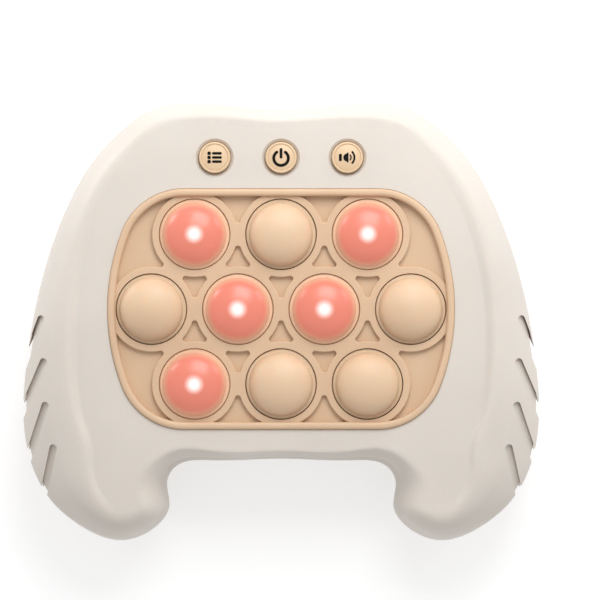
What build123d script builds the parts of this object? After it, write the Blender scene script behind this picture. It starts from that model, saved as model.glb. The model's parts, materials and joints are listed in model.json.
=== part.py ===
"""Hand-held electronic bubble pop game, lying on its back with its face up.

The casing is two moulded shells with two grips. A coloured frame with ten
round windows fills the face, a soft dome stands in each window, and three
round keys sit above. Behind the frame are the silicone mat, the circuit
board, the speaker and a bay for three AAA cells under a screwed cover.

Frame: +X to the player's right, +Y to the top of the face, +Z out of the
face. The origin is under the middle of the casing, on its flat back.
Sizes are in millimetres.
"""

from build123d import *

import math
import os

import numpy as np

# Casing, seen from the face. Each row is a point of the right half of the
# outline, from the top middle round to the bottom middle: x, y, then how far
# the front shoulder and the back rounding reach in from the edge there, and
# how high the soft ridge inside the shoulder stands above the flat face.
HALF_OUTLINE = [
    (0.0, 64.2, 4.0, 9.0, 0.0),
    (13.0, 65.2, 4.2, 9.5, 0.0),
    (27.0, 66.2, 5.0, 10.0, 0.0),
    (38.0, 64.9, 6.0, 11.0, 0.0),
    (48.0, 58.6, 7.0, 12.0, 0.0),
    (57.0, 49.0, 7.6, 13.0, 0.1),
    (64.5, 36.0, 8.2, 14.0, 0.4),
    (70.7, 20.0, 9.6, 15.0, 0.9),
    (75.0, 3.0, 11.8, 15.5, 1.2),
    (77.4, -13.0, 14.2, 15.5, 1.3),
    (78.0, -28.0, 16.4, 15.0, 1.3),
    (75.4, -42.5, 17.8, 14.5, 1.2),
    (69.0, -54.5, 14.8, 14.0, 0.9),
    (59.5, -62.4, 10.8, 13.5, 0.4),
    (48.8, -65.8, 9.0, 12.5, 0.0),
    (39.3, -62.6, 8.0, 11.0, 0.0),
    (34.0, -55.4, 8.5, 9.5, 0.0),
    (34.7, -48.4, 8.6, 8.5, 0.0),
    (31.9, -43.1, 5.8, 8.0, 0.0),
    (21.0, -41.0, 3.5, 7.5, 0.0),
    (0.0, -40.4, 2.8, 7.0, 0.0),
]
RIDGE_WIDTH = 2.6  # how far the ridge takes to fall back to the face
FACE_Z = 36.0  # flat face above the back
PART_LINE_Z = 18.0  # joint between the two shells
WALL = 2.2
PART_GAP = 0.3  # shadow line between the shells
LIP_HEIGHT = 1.6  # tongue of the rear shell inside the front one
LIP_INSET = 1.5  # outer wall left in front of the tongue
LIP_CLEARANCE = 0.12
LIP_INWARD = 0.6  # tongue inside the rear shell's wall
MIN_INNER_SHOULDER = 0.9  # least round left inside a narrow shoulder
SHOULDER_ANGLES = (0, 22, 42, 60, 76, 90)  # sections up each rounded edge

# Finger grooves on the grips: start and end in plan, right side
GROOVES = [
    ((72.1, 1.1), (77.7, -13.0)),
    ((71.1, -11.7), (79.3, -29.7)),
    ((70.5, -24.7), (77.2, -43.5)),
    ((68.1, -37.4), (71.9, -52.8)),
]
GROOVE_WIDTH = 2.3
GROOVE_DEPTH = 1.0
GROOVE_BELOW_LINE = 6.0  # how far the grooves run down the rear shell

# Bubble frame and its windows
PANEL_Y = 4.1  # middle of the frame above the middle of the casing
PANEL_HALF_WIDTH = 51.75
PANEL_HALF_HEIGHT = 35.9
PANEL_SIDE_RADIUS = 65.0
PANEL_CORNER_RADIUS = 20.0
RIM_WIDTH = 2.2
RIM_PROUD = 1.0  # rim above the face
RIM_ROUND = 0.9
LAND_BELOW_FACE = 0.5  # rings round the windows, below the face
POCKET_DEPTH = 1.6  # pockets between the rings, below the rings
FLANGE_WIDTH = 2.4  # edge of the frame behind the face wall
FLANGE_THICKNESS = 1.9
FLANGE_GAP = 0.1  # glue line between the flange and the face wall
PANEL_CLEARANCE = 0.15
BUBBLE_PITCH = 25.8
WINDOW_RADIUS = 10.7
LAND_WIDTH = 2.1  # flat ring round each window
LAND_BRIDGE = 7.0  # width of the bridge between neighbouring rings
LAND_ROUND = 0.35
LAND_CUSP_ROUND = 0.65
ROWS = {"a": 3, "b": 4, "c": 3}  # bubbles in each row, top row first

# Bubble domes
DOME_CLEARANCE = 0.25
DOME_FOOT = 1.1  # step round the dome at the window
DOME_HEIGHT = 5.2
DOME_WALL = 1.3
DOME_UPSTAND = 0.9  # straight part under the round
SKIRT_WALL = 1.5
SHOULDER_BELOW_LAND = 0.4
BUBBLE_TRAVEL = 2.8
CONTACT_THICKNESS = 0.6  # carbon ring under the skirt
CONTACT_GAP = 0.05  # left over when fully pressed
TRACE_THICKNESS = 0.1  # contact rings on the board

# Circuit board and mat
BOARD_GAP = 5.0  # board below the frame
BOARD_THICKNESS = 1.6
BOARD_MARGIN = 1.0  # board beyond the frame's edge
MAT_THICKNESS = 1.0
MAT_INSET = 2.0  # mat inside the board's edge
WEB_THICKNESS = 0.5
WEB_HEIGHT = 2.6
WEB_CLEARANCE = 0.25
WEB_SPREAD = 1.55  # foot of the web outside its top
SPACER_RADIUS = 1.5
SPACER_CLEARANCE = 0.3
BOARD_POST_RADIUS = 2.7
BOARD_EAR_RADIUS = 3.9
BOARD_EAR_REACH = 12.0
BOARD_SCREW_SHANK = 0.8
BOARD_SCREW_LENGTH = 7.0
BOARD_SCREW_HEAD = 1.9
BOARD_SCREW_HEAD_HEIGHT = 1.3
BOARD_POSTS = [(51.9, 33.0), (51.9, -24.0), (58.4, PANEL_Y), (30.6, 52.6)]
TONGUE_HALF_WIDTH = 28.0  # part of the board behind the keys
LED_SIZE = 5.0
LED_HEIGHT = 1.5

# Keys above the frame
KEY_NAMES = ("menu", "power", "sound")
KEY_PITCH = 19.8
KEY_Y = 49.3
KEY_RADIUS = 4.65
KEY_CLEARANCE = 0.25
KEY_BEVEL = 0.8  # bevel of the face round each key
KEY_PROUD = 1.3
KEY_ROUND = 0.6
KEY_TRAVEL = 1.0
KEY_FLANGE = 1.0  # flange beyond the key, behind the face
KEY_FLANGE_THICKNESS = 1.0
KEY_FLANGE_GAP = 0.05
KEY_STEM_RADIUS = 2.6
KEY_STEM_LENGTH = 1.2
PILL_RADIUS = 1.8

# Screws
CASE_POSTS = [(43.0, 47.0), (57.0, -8.5), (52.0, -52.0)]
CASE_POST_RADIUS = 4.3
CASE_POST_TIP = 3.4  # front shell's post
POST_CLEARANCE = 0.5  # board's edge round the front shell's posts
CASE_RECESS_RADIUS = 2.9
CASE_SEAT_Z = 9.0  # screw head's seat above the back
CASE_SCREW_SHANK = 1.1
CASE_SCREW_LENGTH = 18.0
CASE_SCREW_HEAD = 2.5
CASE_SCREW_HEAD_HEIGHT = 1.8
SCREW_CLEARANCE = 0.25
SLOT_WIDTH = 0.7  # cross in each screw head

# Cells and their bay
CELL_RADIUS = 5.25
CELL_LENGTH = 43.6
CELL_TIP_RADIUS = 1.9
CELL_TIP = 0.9
CELL_GAP = 0.3
CELLS = 3
SPRING_LENGTH = 4.4
SPRING_RADIUS = 3.2
SPRING_WIRE = 0.35
SPRING_TURNS = 4
PLATE_THICKNESS = 0.5
BAY_CLEARANCE = 0.4
BAY_WALL = 1.6
BAY_Y = 0.0
COVER_THICKNESS = 2.0
COVER_RECESS = 0.2  # cover below the flat back
COVER_CLEARANCE = 0.25
COVER_LEDGE = 2.0  # cover beyond the bay, all round
COVER_SCREW_STRIP = 8.0  # cover beyond the bay, at the screw
COVER_CORNER = 3.0
LEDGE_THICKNESS = 1.5
TAB_HALF_PITCH = 15.0
TAB_WIDTH = 8.0
TAB_REACH = 2.4
TAB_THICKNESS = 1.2
COVER_BOSS_RADIUS = 3.0
COVER_BOSS_HEIGHT = 3.4
COVER_BOSS_BORE = 1.5
COVER_SCREW_SHANK = 0.95
COVER_SCREW_LENGTH = 4.2
COVER_SCREW_HEAD = 2.3
COVER_SCREW_HEAD_HEIGHT = 1.2

# Speaker in the rear shell
SPEAKER_Y = 39.5
SPEAKER_RADIUS = 13.0
SPEAKER_HEIGHT = 5.2
SPEAKER_RING_WALL = 1.4
SPEAKER_RING_HEIGHT = 3.4
SPEAKER_CLEARANCE = 0.25
GRILLE_HOLE_RADIUS = 0.9
GRILLE_RINGS = {3.2: 6, 6.4: 12, 9.6: 18}  # ring radius: number of holes

LEAD_RADIUS = 0.6

# Heights that follow from the sizes above
rear_top_z = PART_LINE_Z - PART_GAP
wall_under_z = FACE_Z - WALL
flange_top_z = wall_under_z - FLANGE_GAP
frame_bottom_z = flange_top_z - FLANGE_THICKNESS
land_z = FACE_Z - LAND_BELOW_FACE
pocket_z = land_z - POCKET_DEPTH
board_z = frame_bottom_z - BOARD_GAP
board_under_z = board_z - BOARD_THICKNESS
mat_top_z = board_z + MAT_THICKNESS
trace_top_z = board_z + TRACE_THICKNESS
row_pitch = BUBBLE_PITCH * math.sin(math.radians(60))
land_radius = WINDOW_RADIUS + LAND_WIDTH
dome_skirt_radius = WINDOW_RADIUS - DOME_CLEARANCE
cover_top_z = COVER_RECESS + COVER_THICKNESS
ledge_z = cover_top_z + 0.1
cell_z = ledge_z + BAY_CLEARANCE + CELL_RADIUS
cell_pitch = 2 * CELL_RADIUS + CELL_GAP
bay_half_width = (CELL_LENGTH + CELL_TIP + SPRING_LENGTH) / 2 + PLATE_THICKNESS
bay_half_height = CELLS * cell_pitch / 2 + BAY_CLEARANCE
bay_roof_z = cell_z + CELL_RADIUS + BAY_CLEARANCE
hinge_y = BAY_Y - bay_half_height - COVER_LEDGE + COVER_CLEARANCE
cover_top_y = BAY_Y + bay_half_height + COVER_SCREW_STRIP
cover_screw_y = cover_top_y - COVER_SCREW_STRIP / 2
cover_half_width = bay_half_width + COVER_LEDGE


class Outline:
    """The casing's outline: its points, inward normals and edge rounding."""

    def __init__(self):
        left = [(-x, *rest) for x, *rest in HALF_OUTLINE[-2:0:-1]]
        rows = np.array(HALF_OUTLINE + left)
        points = rows[:, :2]
        spine = Edge.make_spline([Vector(x, y) for x, y in points], periodic=True)
        self.points = points - [0.0, spine.bounding_box().center().Y]
        self.front, self.back, self.ridge = rows[:, 2:].T
        ahead = np.roll(points, -1, axis=0) - points
        spans = np.linalg.norm(ahead, axis=1)
        ratio = (spans / np.roll(spans, 1))[:, None]
        tangents = ahead / ratio + np.roll(ahead, 1, axis=0) * ratio
        tangents /= np.linalg.norm(tangents, axis=1)[:, None]
        self.inward = np.stack([tangents[:, 1], -tangents[:, 0]], axis=1)
        self.stations = [0.0, *np.cumsum(spans)]

    def wire(self, inset, height):
        """Closed wire at an inset and a height, each one number or one per point.

        Every wire has the same stations, so that a loft through them stays light.
        """
        inset = np.broadcast_to(np.asarray(inset, float), self.front.shape)
        height = np.broadcast_to(np.asarray(height, float), self.front.shape)
        plan = self.points + self.inward * inset[:, None]
        knots = [Vector(x, y, z) for (x, y), z in zip(plan, height)]
        return Wire([Edge.make_spline(knots, periodic=True, parameters=self.stations)])

    def prism(self, inset, low, high):
        """Upright solid inside the outline."""
        face = Face(self.wire(inset, low))
        return Solid.extrude(face, Vector(0, 0, high - low))

    def body(self, depth):
        """The casing as a full solid whose skin lies a depth inside the outer one."""
        turns = [math.radians(degrees) for degrees in SHOULDER_ANGLES]
        front = np.maximum(self.front - depth, MIN_INNER_SHOULDER)
        back = np.maximum(self.back - depth, MIN_INNER_SHOULDER)
        face_z = FACE_Z - depth
        sections = [
            self.wire(
                depth + back * (1 - math.cos(turn)),
                PART_LINE_Z + (depth - PART_LINE_Z) * math.sin(turn),
            )
            for turn in reversed(turns)
        ]
        sections += [
            self.wire(
                depth + front * (1 - math.cos(turn)),
                PART_LINE_Z + (face_z + self.ridge - PART_LINE_Z) * math.sin(turn),
            )
            for turn in turns[1:]
        ]
        inner = depth + front
        sections.append(self.wire(inner + RIDGE_WIDTH / 2, face_z + self.ridge / 2))
        sections.append(self.wire(inner + RIDGE_WIDTH, face_z))
        return Solid.make_loft(sections)


def panel_face(grow, height=0.0):
    """The frame's outline, grown evenly: flat top and bottom, bowed sides."""
    half_width = PANEL_HALF_WIDTH + grow
    half_height = PANEL_HALF_HEIGHT + grow
    side, corner = PANEL_SIDE_RADIUS + grow, PANEL_CORNER_RADIUS + grow
    side_x = half_width - side
    corner_y = half_height - corner
    corner_x = side_x + math.sqrt((side - corner) ** 2 - corner_y**2)
    lean = math.atan2(corner_y, corner_x - side_x)
    end = (side_x + side * math.cos(lean), side * math.sin(lean))
    half = (lean + math.pi / 2) / 2
    middle = (corner_x + corner * math.cos(half), corner_y + corner * math.sin(half))

    def at(point, sx=1, sy=1):
        return Vector(sx * point[0], PANEL_Y + sy * point[1], height)

    top = (corner_x, half_height)
    edges = [
        Edge.make_line(at(top, -1), at(top)),
        Edge.make_three_point_arc(at(top), at(middle), at(end)),
        Edge.make_three_point_arc(at(end), at((half_width, 0)), at(end, 1, -1)),
        Edge.make_three_point_arc(at(end, 1, -1), at(middle, 1, -1), at(top, 1, -1)),
        Edge.make_line(at(top, 1, -1), at(top, -1, -1)),
        Edge.make_three_point_arc(at(top, -1, -1), at(middle, -1, -1), at(end, -1, -1)),
        Edge.make_three_point_arc(at(end, -1, -1), at((-half_width, 0)), at(end, -1)),
        Edge.make_three_point_arc(at(end, -1), at(middle, -1), at(top, -1)),
    ]
    return Face(Wire(edges))


def panel_solid(grow, low, high):
    """Upright solid with the frame's outline."""
    return Solid.extrude(panel_face(grow, low), Vector(0, 0, high - low))


def disc(x, y, radius, low, high):
    """Upright cylinder between two heights."""
    return Pos(x, y, (low + high) / 2) * Cylinder(radius, high - low)


def ring(x, y, outer, inner, low, high):
    """Upright tube between two heights."""
    return disc(x, y, outer, low, high) - disc(x, y, inner, low - 1, high + 1)


def block(x_low, x_high, y_low, y_high, z_low, z_high, corner=0.0):
    """Upright box between limits, with rounded upright corners if asked."""
    plan = Rectangle(x_high - x_low, y_high - y_low)
    if corner:
        plan = fillet(plan.vertices(), corner)
    centre = Pos((x_low + x_high) / 2, (y_low + y_high) / 2, z_low)
    return centre * extrude(plan, z_high - z_low)


def capsule(start, end, radius, low, high):
    """Upright slot-shaped solid from one point to another."""
    plan = SlotCenterToCenter(math.dist(start, end), 2 * radius)
    turn = math.degrees(math.atan2(end[1] - start[1], end[0] - start[0]))
    middle = Pos((start[0] + end[0]) / 2, (start[1] + end[1]) / 2, low)
    return middle * Rot(0, 0, turn) * extrude(plan, high - low)


def both_sides(places):
    """Places mirrored to the left, right-hand ones first."""
    return [(sx * x, y) for x, y in places for sx in (1, -1)]


def bubble_places():
    """Name and centre of each bubble, as a1 to c3."""
    places = {}
    for level, (row, count) in enumerate(ROWS.items()):
        y = PANEL_Y + (1 - level) * row_pitch
        for i in range(count):
            x = (i - (count - 1) / 2) * BUBBLE_PITCH
            places[f"{row}{i + 1}"] = (x, y)
    return places


def bubble_bridges():
    """Middle and direction of the line between each two neighbouring bubbles."""
    places = list(bubble_places().values())
    return [
        ((x0 + x1) / 2, (y0 + y1) / 2, math.degrees(math.atan2(y1 - y0, x1 - x0)))
        for i, (x0, y0) in enumerate(places)
        for x1, y1 in places[i + 1 :]
        if math.dist((x0, y0), (x1, y1)) < BUBBLE_PITCH * 1.1
    ]


def key_places():
    """Name and centre of each key."""
    return {name: ((i - 1) * KEY_PITCH, KEY_Y) for i, name in enumerate(KEY_NAMES)}


def spacer_places():
    """Feet of the frame, in the pockets either side of the middle row."""
    return [
        (column * BUBBLE_PITCH, PANEL_Y + side * row_pitch / 3)
        for column in (-1, 0, 1)
        for side in (1, -1)
    ]


def groove_cutters(core, low, high):
    """Finger grooves on both grips, between two heights and outside a core."""
    return [
        capsule((side * x0, y0), (side * x1, y1), GROOVE_WIDTH / 2, low, high) - core
        for (x0, y0), (x1, y1) in GROOVES
        for side in (1, -1)
    ]


def casing_halves(outline):
    """Front and rear shells as plain bowls, joined by a tongue and a rebate."""
    walls = outline.body(0) - outline.body(WALL)
    far = 3 * FACE_Z
    lip_low, lip_high = rear_top_z - LIP_HEIGHT, PART_LINE_Z + LIP_HEIGHT
    lip = outline.prism(LIP_INSET + LIP_CLEARANCE, lip_low, lip_high)
    lip -= outline.prism(WALL + LIP_INWARD, lip_low - 1, lip_high + 1)
    rebate = outline.prism(LIP_INSET, PART_LINE_Z - 1, lip_high + LIP_CLEARANCE)
    front = (walls & block(-far, far, -far, far, PART_LINE_Z, far)) - rebate
    rear = (walls & block(-far, far, -far, far, -far, rear_top_z)) + lip
    return front, rear


def front_shell(bowl, core):
    """Front shell with the frame's opening, key holes and screw posts."""
    case_posts, board_posts = both_sides(CASE_POSTS), both_sides(BOARD_POSTS)
    face = FACE_Z - WALL / 2
    posts = [disc(x, y, CASE_POST_TIP, PART_LINE_Z, face) for x, y in case_posts]
    posts += [disc(x, y, BOARD_POST_RADIUS, board_z, face) for x, y in board_posts]
    case_pilot = CASE_SCREW_SHANK + SCREW_CLEARANCE
    case_end = CASE_SEAT_Z + CASE_SCREW_LENGTH + 1
    board_pilot = BOARD_SCREW_SHANK + SCREW_CLEARANCE
    board_end = board_under_z + BOARD_SCREW_LENGTH + 0.5
    holes = [disc(x, y, case_pilot, PART_LINE_Z - 1, case_end) for x, y in case_posts]
    holes += [disc(x, y, board_pilot, board_z - 1, board_end) for x, y in board_posts]
    key_hole = KEY_RADIUS + KEY_CLEARANCE
    for x, y in key_places().values():
        holes.append(disc(x, y, key_hole, wall_under_z - 1, FACE_Z + WALL))
        bevel = Cone(key_hole, key_hole + 2 * KEY_BEVEL, 2 * KEY_BEVEL)
        holes.append(Pos(x, y, FACE_Z) * bevel)
    holes.append(panel_solid(PANEL_CLEARANCE, wall_under_z - 1, FACE_Z + WALL))
    grooves = groove_cutters(core, PART_LINE_Z - 1, FACE_Z + WALL)
    return bowl + posts - holes - grooves


def cover_plan(grow, low, high):
    """Upright solid over the cover's opening, grown evenly."""
    return block(
        -cover_half_width - grow,
        cover_half_width + grow,
        hinge_y - grow,
        cover_top_y + grow,
        low,
        high,
        COVER_CORNER + grow,
    )


def tab_spans():
    """Low and high x of each hinge tab."""
    return [
        (side * TAB_HALF_PITCH - TAB_WIDTH / 2, side * TAB_HALF_PITCH + TAB_WIDTH / 2)
        for side in (-1, 1)
    ]


def rear_shell(bowl, core):
    """Rear shell with the cell bay, screw posts, speaker ring and grille."""
    case_posts = both_sides(CASE_POSTS)
    posts = [
        disc(x, y, CASE_POST_RADIUS, WALL / 2, rear_top_z)
        for x, y in case_posts
    ]
    ledge_top = ledge_z + LEDGE_THICKNESS
    ledge = block(
        -cover_half_width - BAY_WALL,
        cover_half_width + BAY_WALL,
        hinge_y - BAY_WALL,
        cover_top_y + BAY_WALL,
        WALL / 2,
        ledge_top,
    )
    boss_top = ledge_z + COVER_BOSS_HEIGHT
    boss = disc(0, cover_screw_y, COVER_BOSS_RADIUS, WALL / 2, boss_top)
    seat = SPEAKER_RADIUS + SPEAKER_CLEARANCE
    speaker_ring = ring(
        0,
        SPEAKER_Y,
        seat + SPEAKER_RING_WALL,
        seat,
        WALL / 2,
        WALL + SPEAKER_RING_HEIGHT,
    )
    shell = bowl + [*posts, ledge, bay_block(BAY_WALL, WALL / 2), boss, speaker_ring]
    windows = [
        block(
            low - COVER_CLEARANCE,
            high + COVER_CLEARANCE,
            hinge_y - TAB_REACH - COVER_CLEARANCE,
            BAY_Y,
            WALL,
            ledge_top + COVER_THICKNESS,
        )
        for low, high in tab_spans()
    ]
    holes = [cover_plan(COVER_CLEARANCE, -1, ledge_z), bay_block(0, 0), *windows]
    holes.append(disc(0, cover_screw_y, COVER_BOSS_BORE, 0, boss_top + 1))
    bore = CASE_SCREW_SHANK + SCREW_CLEARANCE
    for x, y in case_posts:
        holes.append(disc(x, y, CASE_RECESS_RADIUS, -1, CASE_SEAT_Z))
        holes.append(disc(x, y, bore, 0, PART_LINE_Z + 1))
    for x, y in grille_places():
        holes.append(disc(x, y, GRILLE_HOLE_RADIUS, -1, WALL + 1))
    grooves = groove_cutters(core, rear_top_z - GROOVE_BELOW_LINE, rear_top_z)
    return shell - holes - grooves


def bay_block(grow, low):
    """Block round the cells' space, grown evenly, from a height up to its roof."""
    return block(
        -bay_half_width - grow,
        bay_half_width + grow,
        BAY_Y - bay_half_height - grow,
        BAY_Y + bay_half_height + grow,
        low,
        bay_roof_z + grow,
    )


def grille_places():
    """Centres of the holes in front of the speaker, in rings."""
    places = [(0, SPEAKER_Y)]
    for radius, count in GRILLE_RINGS.items():
        turns = [2 * math.pi * i / count for i in range(count)]
        places += [
            (radius * math.cos(t), SPEAKER_Y + radius * math.sin(t)) for t in turns
        ]
    return places


def bubble_frame():
    """Frame: flange behind the face, rim bead, floor, rings and ten windows."""
    frame = panel_solid(0, frame_bottom_z, FACE_Z + RIM_PROUD) - panel_solid(
        -RIM_WIDTH, pocket_z, FACE_Z + RIM_PROUD + 1
    )
    bead = [
        edge
        for edge in frame.edges()
        if abs(edge.center().Z - FACE_Z - RIM_PROUD) < 0.01
    ]
    frame = fillet(bead, RIM_ROUND)
    frame += panel_solid(FLANGE_WIDTH, frame_bottom_z, flange_top_z)
    lands = Sketch() + [
        Pos(x, y) * Circle(land_radius) for x, y in bubble_places().values()
    ]
    lands += [
        Pos(x, y) * Rot(0, 0, turn) * Rectangle(BUBBLE_PITCH / 2, LAND_BRIDGE)
        for x, y, turn in bubble_bridges()
    ]
    cusps = lands.vertices().filter_by(
        lambda v: panel_distance(v.X, v.Y) > LAND_CUSP_ROUND * 2
    )
    lands = fillet(cusps, LAND_CUSP_ROUND)
    raised = Pos(0, 0, pocket_z) * extrude(lands, land_z - pocket_z)
    edges = [e for e in raised.edges() if abs(e.center().Z - land_z) < 0.01]
    raised = fillet(edges, LAND_ROUND)
    frame += raised & panel_solid(-RIM_WIDTH / 2, pocket_z, land_z)
    for x, y in bubble_places().values():
        frame -= disc(x, y, WINDOW_RADIUS, frame_bottom_z - 1, FACE_Z + RIM_PROUD + 1)
    for x, y in spacer_places():
        frame += disc(x, y, SPACER_RADIUS, board_z, frame_bottom_z)
    return frame


def panel_distance(x, y):
    """Rough distance of a plan point inside the rim, from its flat sides."""
    return min(
        PANEL_HALF_WIDTH - RIM_WIDTH - abs(x),
        PANEL_HALF_HEIGHT - RIM_WIDTH - abs(y - PANEL_Y),
    )


def board_plan(inset, low, high):
    """Board's outline: behind the frame, up behind the keys, and its ears."""
    top_y = KEY_Y + KEY_RADIUS + KEY_FLANGE - inset
    plan = panel_solid(FLANGE_WIDTH + BOARD_MARGIN - inset, low, high)
    plan += block(
        -TONGUE_HALF_WIDTH + inset,
        TONGUE_HALF_WIDTH - inset,
        PANEL_Y,
        top_y,
        low,
        high,
    )
    return plan


def main_board():
    """Circuit board with ears on the front shell's posts."""
    board = board_plan(0, board_under_z, board_z)
    for x, y in both_sides(BOARD_POSTS):
        distance = math.dist((x, y), (0, PANEL_Y))
        reach = 1 - BOARD_EAR_REACH / distance
        inner = (x * reach, PANEL_Y + (y - PANEL_Y) * reach)
        board += capsule((x, y), inner, BOARD_EAR_RADIUS, board_under_z, board_z)
    hole = BOARD_SCREW_SHANK + SCREW_CLEARANCE
    low, high = board_under_z - 1, board_z + 1
    holes = [disc(x, y, hole, low, high) for x, y in both_sides(BOARD_POSTS)]
    notch = CASE_POST_TIP + POST_CLEARANCE
    holes += [disc(x, y, notch, low, high) for x, y in both_sides(CASE_POSTS)]
    return board - holes


def silicone_mat():
    """Mat over the board, with a thin sloping web round each bubble and key."""
    mat = board_plan(MAT_INSET, board_z, mat_top_z)
    webs = [(x, y, dome_skirt_radius) for x, y in bubble_places().values()]
    webs += [(x, y, KEY_STEM_RADIUS) for x, y in key_places().values()]
    for x, y, radius in webs:
        foot = radius + WEB_CLEARANCE + WEB_SPREAD
        mat -= disc(x, y, foot, board_z - 1, mat_top_z + 1)
    for x, y in spacer_places():
        mat -= disc(x, y, SPACER_RADIUS + SPACER_CLEARANCE, board_z - 1, mat_top_z + 1)
    for x, y, radius in webs:
        mat += Pos(x, y) * web(radius + WEB_CLEARANCE)
    return mat


def web(top_radius):
    """Sloping web as a turned solid on the origin."""
    foot = top_radius + WEB_SPREAD
    top = mat_top_z + WEB_HEIGHT
    profile = [
        (foot + WEB_THICKNESS, board_z),
        (foot + WEB_THICKNESS, mat_top_z),
        (top_radius + WEB_THICKNESS, top),
        (top_radius, top),
        (foot, mat_top_z),
        (foot, board_z),
    ]
    return turned(profile)


def turned(profile):
    """Solid turned about Z from (radius, height) corners."""
    corners = [Vector(radius, 0, height) for radius, height in profile]
    face = Face(Wire.make_polygon(corners, close=True))
    return revolve(face, Axis.Z)


def dome():
    """Bubble on the origin: skirt, step at the window and hollow round top."""
    skirt_low = trace_top_z + CONTACT_GAP + BUBBLE_TRAVEL + CONTACT_THICKNESS
    shoulder = land_z - SHOULDER_BELOW_LAND
    radius = dome_skirt_radius - DOME_FOOT
    spring_z = shoulder + DOME_UPSTAND
    top = spring_z + DOME_HEIGHT
    inner_radius = dome_skirt_radius - SKIRT_WALL
    inner_round = radius - DOME_WALL
    outer = half_section(
        [(dome_skirt_radius, skirt_low), (dome_skirt_radius, shoulder)],
        radius,
        shoulder,
        spring_z,
        top,
    )
    inner = half_section(
        [(inner_radius, skirt_low - 1), (inner_radius, shoulder - DOME_WALL)],
        inner_round,
        shoulder - DOME_WALL,
        spring_z,
        top - DOME_WALL,
    )
    solid = revolve(outer, Axis.Z) - revolve(inner, Axis.Z)
    step = [
        e
        for e in solid.edges().filter_by(GeomType.CIRCLE)
        if abs(e.center().Z - shoulder) < 0.01
        and abs(e.radius - dome_skirt_radius) < 0.01
    ]
    return fillet(step, DOME_FOOT / 3)


def half_section(skirt, radius, shoulder, spring_z, top):
    """Half section of a bubble's inside or outside, from the axis outwards."""
    rise = top - spring_z
    sphere = (radius**2 + rise**2) / (2 * rise)
    half = math.asin(radius / sphere) / 2
    middle = (
        sphere * math.sin(half),
        top - sphere * (1 - math.cos(half)),
    )
    low = skirt[0][1]
    path = [(0, low), *skirt, (radius, shoulder), (radius, spring_z)]
    edges = [
        Edge.make_line(Vector(a[0], 0, a[1]), Vector(b[0], 0, b[1]))
        for a, b in zip(path, path[1:])
        if a != b
    ]
    edges.append(
        Edge.make_three_point_arc(
            Vector(radius, 0, spring_z),
            Vector(middle[0], 0, middle[1]),
            Vector(0, 0, top),
        )
    )
    edges.append(Edge.make_line(Vector(0, 0, top), Vector(0, 0, low)))
    return Face(Wire(edges))


def contact_ring():
    """Carbon ring on the skirt's lower end, on the origin."""
    low = trace_top_z + CONTACT_GAP + BUBBLE_TRAVEL
    return ring(
        0,
        0,
        dome_skirt_radius,
        dome_skirt_radius - SKIRT_WALL,
        low,
        low + CONTACT_THICKNESS,
    )


def board_traces():
    """Contact rings and key pads on the board."""
    rings = [
        ring(
            x,
            y,
            dome_skirt_radius + WEB_CLEARANCE,
            dome_skirt_radius - SKIRT_WALL - WEB_CLEARANCE,
            board_z,
            trace_top_z,
        )
        for x, y in bubble_places().values()
    ]
    pads = [
        disc(x, y, PILL_RADIUS + WEB_CLEARANCE, board_z, trace_top_z)
        for x, y in key_places().values()
    ]
    return Compound(children=rings + pads)


def leds():
    """One light under the middle of each bubble."""
    half = LED_SIZE / 2
    lens_radius = half * 0.8
    lights = []
    for x, y in bubble_places().values():
        body = block(x - half, x + half, y - half, y + half, board_z, board_z + LED_HEIGHT)
        body -= disc(x, y, lens_radius, board_z + LED_HEIGHT * 0.7, board_z + LED_HEIGHT + 1)
        lights.append(body)
    return Compound(children=lights)


def key():
    """Key on the origin: round top, flange behind the face and a stem."""
    flange_top = wall_under_z - KEY_FLANGE_GAP
    flange_low = flange_top - KEY_FLANGE_THICKNESS
    cap = disc(0, 0, KEY_RADIUS, flange_low, FACE_Z + KEY_PROUD)
    top = [e for e in cap.edges() if abs(e.center().Z - FACE_Z - KEY_PROUD) < 0.01]
    cap = fillet(top, KEY_ROUND)
    cap += disc(0, 0, KEY_RADIUS + KEY_FLANGE, flange_low, flange_top)
    cap += disc(0, 0, KEY_STEM_RADIUS, flange_low - KEY_STEM_LENGTH, flange_low)
    return cap


def key_plunger():
    """Silicone plunger of the mat under a key, with its carbon pill."""
    top = wall_under_z - KEY_FLANGE_GAP - KEY_FLANGE_THICKNESS - KEY_STEM_LENGTH
    low = trace_top_z + CONTACT_GAP + KEY_TRAVEL
    plunger = disc(0, 0, KEY_STEM_RADIUS, low + CONTACT_THICKNESS, top)
    plunger += disc(0, 0, PILL_RADIUS, low, low + CONTACT_THICKNESS)
    return plunger


def screw(shank, length, head, head_height):
    """Pan-head screw on the origin, head below z 0 and shank above it."""
    body = disc(0, 0, shank, -0.1, length) + disc(0, 0, head, -head_height, 0)
    arm = head * 0.7
    for across, along in ((arm, SLOT_WIDTH / 2), (SLOT_WIDTH / 2, arm)):
        body -= block(
            -across, across, -along, along, -head_height - 1, -head_height * 0.4
        )
    return body


def copies(solid, places, height):
    """The same solid at several places, kept as separate solids."""
    return Compound(children=[Pos(x, y, height) * solid for x, y in places])


def case_screws():
    """Six screws that hold the shells together."""
    one = screw(
        CASE_SCREW_SHANK, CASE_SCREW_LENGTH, CASE_SCREW_HEAD, CASE_SCREW_HEAD_HEIGHT
    )
    return copies(one, both_sides(CASE_POSTS), CASE_SEAT_Z)


def board_screws():
    """Eight screws that hold the board, mat and frame in the front shell."""
    one = screw(
        BOARD_SCREW_SHANK, BOARD_SCREW_LENGTH, BOARD_SCREW_HEAD, BOARD_SCREW_HEAD_HEIGHT
    )
    return copies(one, both_sides(BOARD_POSTS), board_under_z)


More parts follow.
